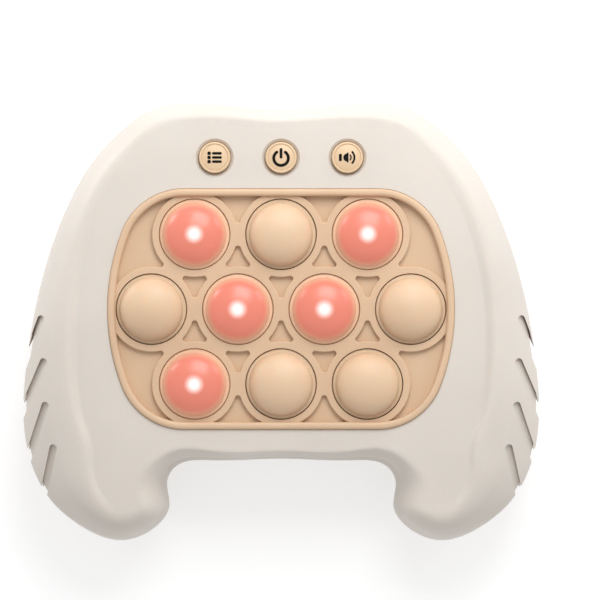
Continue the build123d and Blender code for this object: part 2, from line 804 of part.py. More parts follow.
def battery_cover():
    """Cover with two hinge tabs at one end and a screw at the other."""
    cover = cover_plan(0, COVER_RECESS, cover_top_z)
    neck_y = hinge_y + TAB_THICKNESS
    for low, high in tab_spans():
        tab_low = ledge_z + COVER_CLEARANCE / 2
        cover += block(low, high, hinge_y, neck_y, COVER_RECESS, tab_low + TAB_THICKNESS)
        cover += block(
            low, high, hinge_y - TAB_REACH, neck_y, tab_low, tab_low + TAB_THICKNESS
        )
    head_room = COVER_SCREW_HEAD + SCREW_CLEARANCE
    cover -= disc(0, cover_screw_y, head_room, -1, COVER_RECESS + COVER_SCREW_HEAD_HEIGHT)
    cover -= disc(
        0, cover_screw_y, COVER_SCREW_SHANK + SCREW_CLEARANCE / 5, -1, cover_top_z + 1
    )
    return cover


def battery_cover_screw():
    """Captive screw of the cover."""
    one = screw(
        COVER_SCREW_SHANK,
        COVER_SCREW_LENGTH,
        COVER_SCREW_HEAD,
        COVER_SCREW_HEAD_HEIGHT,
    )
    return Pos(0, cover_screw_y, COVER_RECESS + COVER_SCREW_HEAD_HEIGHT) * one


def cell_rows():
    """y of each cell and which way its positive end points."""
    return [
        (BAY_Y + (i - (CELLS - 1) / 2) * cell_pitch, 1 if i % 2 == 0 else -1)
        for i in range(CELLS)
    ]


def battery_cells():
    """AAA cells lying across the bay, every other one turned round."""
    cells = []
    for y, way in cell_rows():
        positive_x = way * (bay_half_width - PLATE_THICKNESS)
        body_end = positive_x - way * CELL_TIP
        middle = body_end - way * CELL_LENGTH / 2
        can = Pos(middle, y, cell_z) * Rot(0, 90, 0) * Cylinder(CELL_RADIUS, CELL_LENGTH)
        can = fillet(can.edges(), 0.4)
        tip = Pos(positive_x - way * CELL_TIP / 2 - way * 0.1, y, cell_z) * Rot(0, 90, 0)
        cells.append(can + tip * Cylinder(CELL_TIP_RADIUS, CELL_TIP + 0.2 - 0.001))
    return Compound(children=cells)


def battery_springs():
    """Coil spring at the negative end of each cell."""
    springs = []
    for y, way in cell_rows():
        start_x = -way * (bay_half_width - PLATE_THICKNESS)
        height = SPRING_LENGTH - 2 * SPRING_WIRE
        coil = Edge.make_helix(height / SPRING_TURNS, height, SPRING_RADIUS)
        section = Plane(coil @ 0, z_dir=coil % 0) * Circle(SPRING_WIRE)
        wound = sweep(section, path=coil, is_frenet=True)
        springs.append(
            Pos(start_x + way * SPRING_WIRE, y, cell_z) * Rot(0, way * 90, 0) * wound
        )
    return Compound(children=springs)


def battery_plates():
    """Sprung metal plates at both ends of the bay."""
    plates = []
    for side in (-1, 1):
        inner = side * (bay_half_width - PLATE_THICKNESS)
        outer = side * bay_half_width
        for y, _ in cell_rows():
            plates.append(
                block(
                    min(inner, outer),
                    max(inner, outer),
                    y - CELL_RADIUS + CELL_GAP,
                    y + CELL_RADIUS - CELL_GAP,
                    ledge_z + BAY_CLEARANCE,
                    bay_roof_z - BAY_CLEARANCE,
                )
            )
    return Compound(children=plates)


def speaker():
    """Small speaker: cone ring, basket and magnet, facing the grille."""
    low = WALL
    basket = disc(0, SPEAKER_Y, SPEAKER_RADIUS, low, low + SPEAKER_HEIGHT * 0.45)
    magnet_radius = SPEAKER_RADIUS * 0.55
    magnet = disc(0, SPEAKER_Y, magnet_radius, low, low + SPEAKER_HEIGHT)
    cone = Pos(0, SPEAKER_Y, low) * Cone(
        SPEAKER_RADIUS * 0.8,
        SPEAKER_RADIUS * 0.3,
        SPEAKER_HEIGHT * 0.35,
        align=(Align.CENTER, Align.CENTER, Align.MIN),
    )
    return (basket + magnet) - cone


def sound_chip():
    """Game chip under a drop of black resin, on the board's back."""
    chip_x, chip_y, chip_radius, chip_height = -18.0, 30.0, 5.0, 1.6
    blob = disc(chip_x, chip_y, chip_radius, board_under_z - chip_height, board_under_z)
    low = [e for e in blob.edges() if e.center().Z < board_under_z - chip_height / 2]
    return fillet(low, chip_height * 0.6)


def capacitors():
    """Two small electrolytic capacitors on the board's back."""
    radius, height, cap_y = 2.0, 5.0, 30.0
    return Compound(
        children=[
            disc(x, cap_y, radius, board_under_z - height, board_under_z)
            for x in (20.0, 26.0)
        ]
    )


def lead(points):
    """Insulated wire along straight runs with round bends."""
    runs = [math.dist(a, b) for a, b in zip(points, points[1:])]
    radii = []
    for i in range(1, len(points) - 1):
        into = Vector(*points[i]) - Vector(*points[i - 1])
        out = Vector(*points[i + 1]) - Vector(*points[i])
        half_turn = math.radians(into.get_angle(out)) / 2
        radii.append(0.45 * min(runs[i - 1], runs[i]) / math.tan(half_turn))
    path = FilletPolyline(*points, radius=radii)
    section = Plane(path @ 0, z_dir=path % 0) * Circle(LEAD_RADIUS)
    return sweep(section, path=path)


def battery_lead(side):
    """Lead from the end of the bay, at one side, up to the board."""
    wall_x = bay_half_width + BAY_WALL
    path = [
        (wall_x, 8.0, cell_z),
        (wall_x + 5.4, 8.0, cell_z),
        (wall_x + 5.4, 9.0, cell_z + 9.0),
        (wall_x + 3.6, 11.0, board_under_z - 4.0),
        (wall_x + 3.6, 11.0, board_under_z),
    ]
    return lead([(side * x, y, z) for x, y, z in path])


def speaker_leads():
    """Pair of leads from the speaker's back to the board."""
    start_z = WALL + SPEAKER_HEIGHT
    paths = [
        [
            (x, SPEAKER_Y + 2.0, start_z),
            (x, SPEAKER_Y + 2.0, start_z + 4.0),
            (1.8 * x, SPEAKER_Y - 2.0, board_under_z - 4.0),
            (1.8 * x, SPEAKER_Y - 2.0, board_under_z),
        ]
        for x in (-3.0, 3.0)
    ]
    return Compound(children=[lead(path) for path in paths])


def main():
    """Builds every piece and writes one file for each node."""
    os.makedirs("parts", exist_ok=True)
    outline = Outline()
    front_bowl, rear_bowl = casing_halves(outline)
    core = outline.body(GROOVE_DEPTH)
    nodes = {
        "front_shell": front_shell(front_bowl, core),
        "rear_shell": rear_shell(rear_bowl, core),
        "bubble_frame": bubble_frame(),
        "silicone_mat": silicone_mat(),
        "main_board": main_board(),
        "board_traces": board_traces(),
        "leds": leds(),
        "sound_chip": sound_chip(),
        "capacitors": capacitors(),
        "case_screws": case_screws(),
        "board_screws": board_screws(),
        "battery_cover": battery_cover(),
        "battery_cover_screw": battery_cover_screw(),
        "battery_cells": battery_cells(),
        "battery_springs": battery_springs(),
        "battery_plates": battery_plates(),
        "speaker": speaker(),
        "battery_lead_positive": battery_lead(1),
        "battery_lead_negative": battery_lead(-1),
        "speaker_leads": speaker_leads(),
    }
    one_dome, one_ring = dome(), contact_ring()
    for name, (x, y) in bubble_places().items():
        nodes[f"bubble_{name}"] = Pos(x, y) * one_dome
        nodes[f"contact_ring_{name}"] = Pos(x, y) * one_ring
    one_key, one_plunger = key(), key_plunger()
    for name, (x, y) in key_places().items():
        nodes[f"{name}_key"] = Pos(x, y) * one_key
        nodes[f"{name}_plunger"] = Pos(x, y) * one_plunger
    for name, shape in nodes.items():
        export_step(shape, f"parts/{name}.step")


main()
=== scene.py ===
"""Looks of the electronic bubble pop game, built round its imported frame.

The game lies on its back with its face to the camera. Sizes in the classes
are in millimetres; meshes are made in metres, in the frame's own axes.
"""

from __future__ import annotations

import json
import logging
import math
from dataclasses import dataclass, field
from enum import Enum

import bmesh
import bpy
from mathutils import Matrix, Vector

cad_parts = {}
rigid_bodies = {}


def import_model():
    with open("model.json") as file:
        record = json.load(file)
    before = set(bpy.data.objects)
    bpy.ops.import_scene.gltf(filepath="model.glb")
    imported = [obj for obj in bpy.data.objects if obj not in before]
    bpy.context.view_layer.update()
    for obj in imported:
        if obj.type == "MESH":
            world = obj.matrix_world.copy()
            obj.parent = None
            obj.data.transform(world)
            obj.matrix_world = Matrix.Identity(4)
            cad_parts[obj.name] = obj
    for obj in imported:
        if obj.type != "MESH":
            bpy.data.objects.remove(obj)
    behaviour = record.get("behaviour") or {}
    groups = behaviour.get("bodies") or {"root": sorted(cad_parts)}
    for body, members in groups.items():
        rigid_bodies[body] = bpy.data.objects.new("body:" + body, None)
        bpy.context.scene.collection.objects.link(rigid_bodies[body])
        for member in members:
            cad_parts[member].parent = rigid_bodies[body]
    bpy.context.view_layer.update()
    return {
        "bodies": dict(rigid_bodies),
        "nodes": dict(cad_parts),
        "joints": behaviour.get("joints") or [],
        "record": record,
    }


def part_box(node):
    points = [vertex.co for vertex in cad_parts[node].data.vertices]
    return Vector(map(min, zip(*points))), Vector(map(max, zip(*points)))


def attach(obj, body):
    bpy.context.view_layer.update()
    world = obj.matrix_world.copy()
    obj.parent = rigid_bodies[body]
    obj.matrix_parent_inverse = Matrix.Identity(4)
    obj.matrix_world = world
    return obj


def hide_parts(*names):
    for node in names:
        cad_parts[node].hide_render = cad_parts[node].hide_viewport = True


LOG = logging.getLogger("bubble_pop_game")
MM = 0.001
MERGE = 1e-7
POLE = 1e-6
Colour = tuple[float, float, float, float]
Place = tuple[float, float, float]
Profile = list[tuple[float, float]]
WHITE: Colour = (1.0, 1.0, 1.0, 1.0)


def srgb(red: int, green: int, blue: int) -> Colour:
    """Linear colour of an eight-bit screen colour.

    Args:
        red: Red from 0 to 255.
        green: Green from 0 to 255.
        blue: Blue from 0 to 255.

    Returns:
        The linear colour with full alpha.
    """
    parts = []
    for value in (red, green, blue):
        share = value / 255
        low = share <= 0.04045
        parts.append(share / 12.92 if low else ((share + 0.055) / 1.055) ** 2.4)
    return (parts[0], parts[1], parts[2], 1.0)


# Shader nodes


@dataclass
class Graph:
    """A node tree with short ways to add and join nodes."""

    tree: bpy.types.NodeTree

    def add(self, kind: str, **values: object) -> bpy.types.Node:
        """Adds a node.

        Args:
            kind: Blender's node type.
            **values: Attributes of the node, such as operation.

        Returns:
            The new node.
        """
        node = self.tree.nodes.new(kind)
        for name, value in values.items():
            setattr(node, name, value)
        return node

    def feed(self, socket: bpy.types.NodeSocket, value: object) -> None:
        """Sets a socket to a plain value, or joins it to another socket.

        Args:
            socket: The input.
            value: A number, colour, vector or output socket.
        """
        if isinstance(value, bpy.types.NodeSocket):
            self.tree.links.new(value, socket)
        else:
            socket.default_value = value

    def math(self, operation: str, first: object, second: object = 0.0) -> object:
        """Output of a Math node.

        Args:
            operation: Blender's name of the operation.
            first: First number or socket.
            second: Second number or socket.

        Returns:
            The value's output socket.
        """
        node = self.add("ShaderNodeMath", operation=operation)
        self.feed(node.inputs[0], first)
        self.feed(node.inputs[1], second)
        return node.outputs[0]

    def mix(self, factor: object, first: object, second: object) -> object:
        """Output of a colour mix.

        Args:
            factor: Share of the second colour.
            first: Colour at factor 0.
            second: Colour at factor 1.

        Returns:
            The colour's output socket.
        """
        node = self.add("ShaderNodeMix", data_type="RGBA", clamp_factor=True)
        self.feed(node.inputs["Factor"], factor)
        colours = [socket for socket in node.inputs if socket.type == "RGBA"]
        self.feed(colours[0], first)
        self.feed(colours[1], second)
        return [socket for socket in node.outputs if socket.type == "RGBA"][0]

    def noise(self, vector: object, scale: object, detail: float = 3.0) -> object:
        """Output of a noise texture, from 0 to 1.

        Args:
            vector: Coordinates.
            scale: Features in a metre.
            detail: Octaves.

        Returns:
            The value's output socket.
        """
        node = self.add("ShaderNodeTexNoise")
        self.feed(node.inputs["Vector"], vector)
        self.feed(node.inputs["Scale"], scale)
        node.inputs["Detail"].default_value = detail
        return node.outputs["Fac"]

    def ramp(self, value: object, low: object, high: object) -> object:
        """Output that rises from 0 at one value to 1 at another, eased at both ends.

        Args:
            value: The input.
            low: Value that gives 0.
            high: Value that gives 1.

        Returns:
            The value's output socket.
        """
        node = self.add("ShaderNodeMapRange", interpolation_type="SMOOTHSTEP")
        self.feed(node.inputs["Value"], value)
        self.feed(node.inputs["From Min"], low)
        self.feed(node.inputs["From Max"], high)
        return node.outputs["Result"]


class ShaderGroup:
    """A shader effect with named inputs and outputs, built once."""

    name = "effect"
    inputs: dict[str, tuple[str, object]] = {}
    outputs: dict[str, str] = {}

    @classmethod
    def tree(cls) -> bpy.types.NodeTree:
        """The group's node tree, built at its first use.

        Returns:
            The node tree.
        """
        known = bpy.data.node_groups.get(cls.name)
        if known:
            return known
        tree = bpy.data.node_groups.new(cls.name, "ShaderNodeTree")
        kinds = {"value": "NodeSocketFloat", "colour": "NodeSocketColor", "vector": "NodeSocketVector"}
        for name, (kind, default) in cls.inputs.items():
            socket = tree.interface.new_socket(name, in_out="INPUT", socket_type=kinds[kind])
            if default is not None:
                socket.default_value = default
        for name, kind in cls.outputs.items():
            tree.interface.new_socket(name, in_out="OUTPUT", socket_type=kinds[kind])
        graph = Graph(tree)
        start = graph.add("NodeGroupInput")
        end = graph.add("NodeGroupOutput")
        made = cls.wire(graph, start.outputs)
        for name, value in made.items():
            graph.feed(end.inputs[name], value)
        return tree

    @classmethod
    def wire(cls, graph: Graph, given: object) -> dict[str, object]:
        """Builds the effect.

        Args:
            graph: The group's tree.
            given: The group's input sockets, by name.

        Returns:
            The output socket for each output's name.
        """
        raise NotImplementedError

    @classmethod
    def use(cls, graph: Graph, **values: object) -> object:
        """Places the group in a material.

        Args:
            graph: The material's tree.
            **values: Inputs by name, with underscores for spaces.

        Returns:
            The group's outputs.
        """
        node = graph.add("ShaderNodeGroup", node_tree=cls.tree())
        for name, value in values.items():
            graph.feed(node.inputs[name.replace("_", " ")], value)
        return node.outputs


class MouldSkin(ShaderGroup):
    """Spark-eroded mould texture with slight clouding of the colour."""

    name = "Mould skin"
    inputs = {
        "Position": ("vector", None),
        "Colour": ("colour", (0.8, 0.8, 0.8, 1.0)),
        "Cloud Colour": ("colour", (0.7, 0.7, 0.7, 1.0)),
        "Cloud Scale": ("value", 30.0),
        "Grain Scale": ("value", 2200.0),
        "Roughness": ("value", 0.4),
        "Roughness Spread": ("value", 0.08),
    }
    outputs = {"Colour": "colour", "Roughness": "value", "Height": "value"}
    cloud_span = (0.35, 0.7)
    coarse_scale = 0.31
    coarse_height = 0.6

    @classmethod
    def wire(cls, graph: Graph, given: object) -> dict[str, object]:
        """Clouds the colour and adds fine and coarse grain.

        Args:
            graph: The group's graph.
            given: The group's inputs by name.

        Returns:
            What each output takes.
        """
        cloud = graph.noise(given["Position"], given["Cloud Scale"], 2.0)
        colour = graph.mix(graph.ramp(cloud, *cls.cloud_span), given["Colour"], given["Cloud Colour"])
        grain = graph.noise(given["Position"], given["Grain Scale"], 2.0)
        coarser = graph.math("MULTIPLY", given["Grain Scale"], cls.coarse_scale)
        coarse = graph.noise(given["Position"], coarser, 1.0)
        height = graph.math("ADD", grain, graph.math("MULTIPLY", coarse, cls.coarse_height))
        lean = graph.math("MULTIPLY", graph.math("SUBTRACT", cloud, 0.5), given["Roughness Spread"])
        rough = graph.math("ADD", given["Roughness"], lean)
        return {"Colour": colour, "Roughness": rough, "Height": height}


class Handling(ShaderGroup):
    """Faint smears and dust that handling leaves on a surface."""

    name = "Handling"
    inputs = {
        "Position": ("vector", None),
        "Colour": ("colour", (0.8, 0.8, 0.8, 1.0)),
        "Roughness": ("value", 0.4),
        "Dust Colour": ("colour", (0.6, 0.57, 0.52, 1.0)),
        "Amount": ("value", 0.06),
    }
    outputs = {"Colour": "colour", "Roughness": "value"}
    smear_scale = 90.0
    smear_span = (0.52, 0.72)
    smear_share = 0.5
    speck_scale = 900.0
    speck_span = (0.7, 0.76)

    @classmethod
    def wire(cls, graph: Graph, given: object) -> dict[str, object]:
        """Lays smears and specks over the colour and dulls the smears.

        Args:
            graph: The group's graph.
            given: The group's inputs by name.

        Returns:
            What each output takes.
        """
        smear = graph.ramp(graph.noise(given["Position"], cls.smear_scale, 4.0), *cls.smear_span)
        specks = graph.ramp(graph.noise(given["Position"], cls.speck_scale, 1.0), *cls.speck_span)
        marks = graph.math("MAXIMUM", graph.math("MULTIPLY", smear, cls.smear_share), specks)
        share = graph.math("MULTIPLY", marks, given["Amount"])
        colour = graph.mix(share, given["Colour"], given["Dust Colour"])
        rough = graph.math("ADD", given["Roughness"], graph.math("MULTIPLY", smear, given["Amount"]))
        return {"Colour": colour, "Roughness": rough}


class LampGlow(ShaderGroup):
    """Light spread through a dome from the lamp below it."""

    name = "Lamp glow"
    inputs = {
        "Offset": ("vector", None),
        "Core": ("value", 0.0034),
        "Reach": ("value", 0.0104),
        "Edge Colour": ("colour", (0.1, 0.06, 0.04, 1.0)),
        "Glow Colour": ("colour", (0.9, 0.2, 0.15, 1.0)),
        "Core Colour": ("colour", WHITE),
    }
    outputs = {"Spread": "value", "Emission": "colour"}
    even_share_of_reach = 0.73
    white_share_of_core = 0.08

    @classmethod
    def wire(cls, graph: Graph, given: object) -> dict[str, object]:
        """Fades from a white core through the glow to the dome's edge.

        Args:
            graph: The group's graph.
            given: The group's inputs by name.

        Returns:
            What each output takes.
        """
        parts = graph.add("ShaderNodeSeparateXYZ")
        graph.feed(parts.inputs[0], given["Offset"])
        square = [graph.math("MULTIPLY", parts.outputs[i], parts.outputs[i]) for i in (0, 1)]
        away = graph.math("SQRT", graph.math("ADD", square[0], square[1]))
        near = graph.math("MULTIPLY", given["Reach"], cls.even_share_of_reach)
        spread = graph.math("SUBTRACT", 1.0, graph.ramp(away, near, given["Reach"]))
        inner = graph.math("MULTIPLY", given["Core"], cls.white_share_of_core)
        core = graph.math("SUBTRACT", 1.0, graph.ramp(away, inner, given["Core"]))
        glow = graph.mix(spread, given["Edge Colour"], given["Glow Colour"])
        return {"Spread": spread, "Emission": graph.mix(core, glow, given["Core Colour"])}


class BrushedMetal(ShaderGroup):
    """Drawn or plated metal with fine streaks along one axis."""

    name = "Brushed metal"
    inputs = {
        "Position": ("vector", None),
        "Colour": ("colour", (0.6, 0.6, 0.6, 1.0)),
        "Dark Colour": ("colour", (0.35, 0.35, 0.35, 1.0)),
        "Stretch": ("vector", None),
        "Roughness": ("value", 0.3),
    }
    outputs = {"Colour": "colour", "Roughness": "value", "Height": "value"}
    cloud_scale = 400.0
    cloud_span = (0.4, 0.75)
    streak_roughness = 0.3

    @classmethod
    def wire(cls, graph: Graph, given: object) -> dict[str, object]:
        """Stretches noise to streaks and clouds the colour.

        Args:
            graph: The group's graph.
            given: The group's inputs by name.

        Returns:
            What each output takes.
        """
        stretched = graph.add("ShaderNodeVectorMath", operation="MULTIPLY")
        graph.feed(stretched.inputs[0], given["Position"])
        graph.feed(stretched.inputs[1], given["Stretch"])
        streaks = graph.noise(stretched.outputs[0], 1.0, 3.0)
        cloud = graph.noise(given["Position"], cls.cloud_scale, 2.0)
        colour = graph.mix(graph.ramp(cloud, *cls.cloud_span), given["Colour"], given["Dark Colour"])
        lean = graph.math("MULTIPLY", graph.math("SUBTRACT", streaks, 0.5), cls.streak_roughness)
        return {
            "Colour": colour,
            "Roughness": graph.math("ADD", given["Roughness"], lean),
            "Height": streaks,
        }


# Finishes


@dataclass(frozen=True)
class Finish:
    """A finish that one or more pieces take."""

    name: str
    colour: Colour

    def shade(self, graph: Graph, shader: bpy.types.Node, position: object) -> None:
        """Joins the finish's pattern to the shader.

        Args:
            graph: The material's tree.
            shader: The Principled shader.
            position: Object coordinates.
        """
        raise NotImplementedError

    def material(self) -> bpy.types.Material:
        """The finish's material, built at its first use.

        Returns:
            The material.
        """
        known = bpy.data.materials.get(self.name)
        if known:
            return known
        made = bpy.data.materials.new(self.name)
        made.use_nodes = True
        made.node_tree.nodes.clear()
        graph = Graph(made.node_tree)
        end = graph.add("ShaderNodeOutputMaterial")
        shader = graph.add("ShaderNodeBsdfPrincipled")
        graph.tree.links.new(shader.outputs[0], end.inputs[0])
        position = graph.add("ShaderNodeTexCoord").outputs["Object"]
        self.shade(graph, shader, position)
        made.diffuse_color = self.colour
        return made


def raise_surface(graph: Graph, shader: bpy.types.Node, height: object, depth: float) -> None:
    """Joins a height to the shader's normal.

    Args:
        graph: The material's tree.
        shader: The Principled shader.
        height: Height from 0 to 1.
        depth: Height of 1 in metres.
    """
    bump = graph.add("ShaderNodeBump")
    bump.inputs["Distance"].default_value = depth
    graph.feed(bump.inputs["Height"], height)
    graph.feed(shader.inputs["Normal"], bump.outputs[0])


@dataclass(frozen=True)
class Moulded(Finish):
    """Moulded plastic or rubber with a fine skin."""

    cloud: Colour = (0.7, 0.7, 0.7, 1.0)
    roughness: float = 0.4
    spread: float = 0.1
    grain: float = 2200.0
    depth: float = 0.00003
    dust: float = 0.05
    coat: float = 0.0
    coat_roughness: float = 0.2
    gloss: float = 0.5
    under: float = 0.0
    under_reach: float = 0.001

    def shade(self, graph: Graph, shader: bpy.types.Node, position: object) -> None:
        """Joins skin, handling marks, coat and depth of light to the shader.

        Args:
            graph: The material's graph.
            shader: The Principled shader.
            position: The socket with the object's own coordinates.
        """
        skin = MouldSkin.use(
            graph,
            Position=position,
            Colour=self.colour,
            Cloud_Colour=self.cloud,
            Grain_Scale=self.grain,
            Roughness=self.roughness,
            Roughness_Spread=self.spread,
        )
        used = Handling.use(
            graph,
            Position=position,
            Colour=skin["Colour"],
            Roughness=skin["Roughness"],
            Amount=self.dust,
        )
        graph.feed(shader.inputs["Base Color"], used["Colour"])
        graph.feed(shader.inputs["Roughness"], used["Roughness"])
        shader.inputs["Specular IOR Level"].default_value = self.gloss
        shader.inputs["Coat Weight"].default_value = self.coat
        shader.inputs["Coat Roughness"].default_value = self.coat_roughness
        shader.inputs["Subsurface Weight"].default_value = self.under
        shader.inputs["Subsurface Scale"].default_value = self.under_reach
        raise_surface(graph, shader, skin["Height"], self.depth)


@dataclass(frozen=True)
class LitSilicone(Moulded):
    """Silicone dome with the lamp below it switched on."""

    roughness: float = 0.3
    centre: tuple[float, float] = (0.0, 0.0)
    edge: Colour = (0.13, 0.07, 0.045, 1.0)
    glow: Colour = (0.245, 0.07, 0.045, 1.0)
    # painted lamp light: the red that the lamp's light gives the peach silicone, laid into the base colour
    lamp_light_tint: Colour = srgb(190, 108, 92)

    def shade(self, graph: Graph, shader: bpy.types.Node, position: object) -> None:
        """Adds the lamp's light to the moulded finish: a painted tint of its light in the base colour, and
        emission.

        Args:
            graph: The material's graph.
            shader: The Principled shader.
            position: The socket with the object's own coordinates.
        """
        super().shade(graph, shader, position)
        place = graph.add("ShaderNodeMapping")
        graph.feed(place.inputs["Vector"], position)
        place.inputs["Location"].default_value = (-self.centre[0], -self.centre[1], 0.0)
        lamp = LampGlow.use(graph, Offset=place.outputs[0], Edge_Colour=self.edge, Glow_Colour=self.glow)
        # painted lamp light: the base colour turns to the lamp's red where the glow spreads
        plain = shader.inputs["Base Color"].links[0].from_socket
        graph.feed(shader.inputs["Base Color"], graph.mix(lamp["Spread"], plain, self.lamp_light_tint))
        graph.feed(shader.inputs["Emission Color"], lamp["Emission"])
        shader.inputs["Emission Strength"].default_value = 1.0


@dataclass(frozen=True)
class Plated(Finish):
    """Plated or drawn metal."""

    dark: Colour = (0.4, 0.4, 0.4, 1.0)
    roughness: float = 0.3
    stretch: tuple[float, float, float] = (3000.0, 300.0, 3000.0)
    depth: float = 0.00001

    def shade(self, graph: Graph, shader: bpy.types.Node, position: object) -> None:
        """Joins the streaks to a metal shader.

        Args:
            graph: The material's graph.
            shader: The Principled shader.
            position: The socket with the object's own coordinates.
        """
        metal = BrushedMetal.use(
            graph,
            Position=position,
            Colour=self.colour,
            Dark_Colour=self.dark,
            Stretch=self.stretch,
            Roughness=self.roughness,
        )
        shader.inputs["Metallic"].default_value = 1.0
        graph.feed(shader.inputs["Base Color"], metal["Colour"])
        graph.feed(shader.inputs["Roughness"], metal["Roughness"])
        raise_surface(graph, shader, metal["Height"], self.depth)


@dataclass(frozen=True)
class Paper(Finish):
    """White paper lit from behind, on which a shadow stays faint."""

    lift: float = 0.5
    roughness: float = 0.9

    def shade(self, graph: Graph, shader: bpy.types.Node, position: object) -> None:
        """Sets the paper's even values on the shader.

        Args:
            graph: The material's graph.
            shader: The Principled shader.
            position: The socket with the object's own coordinates.
        """
        shader.inputs["Base Color"].default_value = self.colour
        shader.inputs["Roughness"].default_value = self.roughness
        shader.inputs["Emission Color"].default_value = WHITE
        shader.inputs["Emission Strength"].default_value = self.lift


@dataclass(frozen=True)
class Laminate(Finish):
    """Lacquered circuit board with tracks under the lacquer."""

    track: Colour = (0.1, 0.4, 0.15, 1.0)
    track_scale: float = 160.0
    track_width: float = 0.035
    pour: float = 0.15
    patch_scale: float = 60.0
    patch_span: tuple[float, float] = (0.45, 0.55)
    roughness: float = 0.32
    dust: float = 0.1
    lacquer: float = 0.5
    lacquer_roughness: float = 0.15
    depth: float = 0.00002

    def shade(self, graph: Graph, shader: bpy.types.Node, position: object) -> None:
        """Joins the tracks under the lacquer to the shader.

        Args:
            graph: The material's graph.
            shader: The Principled shader.
            position: The socket with the object's own coordinates.
        """
        bricks = graph.add("ShaderNodeTexBrick")
        graph.feed(bricks.inputs["Vector"], position)
        bricks.inputs["Scale"].default_value = self.track_scale
        bricks.inputs["Mortar Size"].default_value = self.track_width
        bricks.inputs["Color1"].default_value = (0.0, 0.0, 0.0, 1.0)
        bricks.inputs["Color2"].default_value = (self.pour, self.pour, self.pour, 1.0)
        bricks.inputs["Mortar"].default_value = WHITE
        broken = graph.ramp(graph.noise(position, self.patch_scale, 1.0), *self.patch_span)
        tracks = graph.math("MULTIPLY", bricks.outputs["Color"], broken)
        used = Handling.use(
            graph,
            Position=position,
            Colour=graph.mix(tracks, self.colour, self.track),
            Roughness=self.roughness,
            Amount=self.dust,
        )
        graph.feed(shader.inputs["Base Color"], used["Colour"])
        graph.feed(shader.inputs["Roughness"], used["Roughness"])
        shader.inputs["Coat Weight"].default_value = self.lacquer
        shader.inputs["Coat Roughness"].default_value = self.lacquer_roughness
        raise_surface(graph, shader, tracks, self.depth)


SHELL = Moulded(
    "warm white shell",
    srgb(208, 200, 191),
    cloud=srgb(204, 196, 187),
    roughness=0.46,
    grain=2600.0,
    depth=0.00002,
    under=0.08,
    under_reach=0.0015,
)
PEACH = Moulded(
    "peach frame",
    srgb(207, 177, 146),
    cloud=srgb(202, 171, 140),
    roughness=0.5,
    grain=2400.0,
    depth=0.00002,
    under=0.08,
)
KEY_PEACH = Moulded(
    "peach key",
    srgb(215, 188, 154),
    cloud=srgb(210, 181, 147),
    roughness=0.42,
    depth=0.000012,
    under=0.06,
)
DOME = Moulded(
    "peach silicone",
    srgb(213, 183, 152),
    cloud=srgb(206, 175, 144),
    roughness=0.48,
    spread=0.14,
    grain=1500.0,
    depth=0.00001,
    dust=0.03,
    under=0.25,
    under_reach=0.003,
)
SIGN_INK = Moulded(
    "black sign",
    srgb(8, 7, 7),
    cloud=srgb(13, 12, 11),
    roughness=0.6,
    depth=0.000005,
    dust=0.0,
    gloss=0.12,
)
SHEET_SILICONE = Moulded(
    "white silicone",
    srgb(226, 222, 214),
    cloud=srgb(215, 211, 203),
    roughness=0.62,
    grain=1200.0,
    under=0.3,
    under_reach=0.002,
)
CARBON = Moulded("carbon rubber", srgb(28, 28, 29), cloud=srgb(42, 42, 43), roughness=0.75, dust=0.12)
CELL_SLEEVE = Moulded(
    "cell sleeve",
    srgb(64, 68, 72),
    cloud=srgb(52, 56, 60),
    roughness=0.28,
    grain=300.0,
    depth=0.00001,
    coat=0.6,
)
CELL_BAND = Plated("cell band", srgb(190, 132, 84), dark=srgb(160, 104, 62), roughness=0.3)
LAMP_BODY = Moulded("lamp body", srgb(240, 238, 230), cloud=srgb(228, 226, 216), roughness=0.35)
RESIN = Moulded("black resin", srgb(14, 14, 15), cloud=srgb(24, 24, 26), roughness=0.2, grain=200.0)
SLEEVE = Moulded("capacitor sleeve", srgb(28, 34, 60), cloud=srgb(22, 27, 50), roughness=0.25, coat=0.4)
CONE_PAPER = Moulded("speaker black", srgb(30, 30, 32), cloud=srgb(44, 44, 46), roughness=0.7, grain=700.0)
RED_WIRE = Moulded("red insulation", srgb(178, 28, 24), cloud=srgb(160, 22, 20), roughness=0.4)
BLACK_WIRE = Moulded("black insulation", srgb(24, 24, 25), cloud=srgb(34, 34, 35), roughness=0.4)
GREY_WIRE = Moulded("grey insulation", srgb(120, 120, 122), cloud=srgb(104, 104, 106), roughness=0.4)
SCREW_STEEL = Plated("zinc screw", srgb(196, 197, 200), dark=srgb(150, 151, 154), roughness=0.32)
NICKEL = Plated(
    "nickel plate",
    srgb(206, 204, 198),
    dark=srgb(168, 166, 160),
    roughness=0.24,
    stretch=(300.0, 4000.0, 300.0),
)
GOLD = Plated("gold plate", srgb(226, 190, 110), dark=srgb(196, 156, 84), roughness=0.28)
FLOOR = Paper("white paper", srgb(200, 200, 200))
BOARD = Laminate("green board", srgb(20, 84, 44), track=srgb(40, 120, 62))


# Meshes


def new_piece(name: str, mesh: bmesh.types.BMesh, finish: Finish, smooth: float = 40.0) -> bpy.types.Object:
    """Turns a working mesh into a finished piece.

    Args:
        name: The piece's name.
        mesh: The working mesh, in metres. It is freed.
        finish: The piece's finish.
        smooth: Largest angle in degrees that is still shaded round.

    Returns:
        The new object, at the origin.
    """
    bmesh.ops.remove_doubles(mesh, verts=mesh.verts, dist=MERGE)
    bmesh.ops.recalc_face_normals(mesh, faces=mesh.faces)
    limit = math.radians(smooth)
    for face in mesh.faces:
        face.smooth = True
    for edge in mesh.edges:
        if len(edge.link_faces) == 2:
            edge.smooth = edge.calc_face_angle(0.0) < limit
    data = bpy.data.meshes.new(name)
    mesh.to_mesh(data)
    mesh.free()
    piece = bpy.data.objects.new(name, data)
    bpy.context.scene.collection.objects.link(piece)
    data.materials.append(finish.material())
    return piece


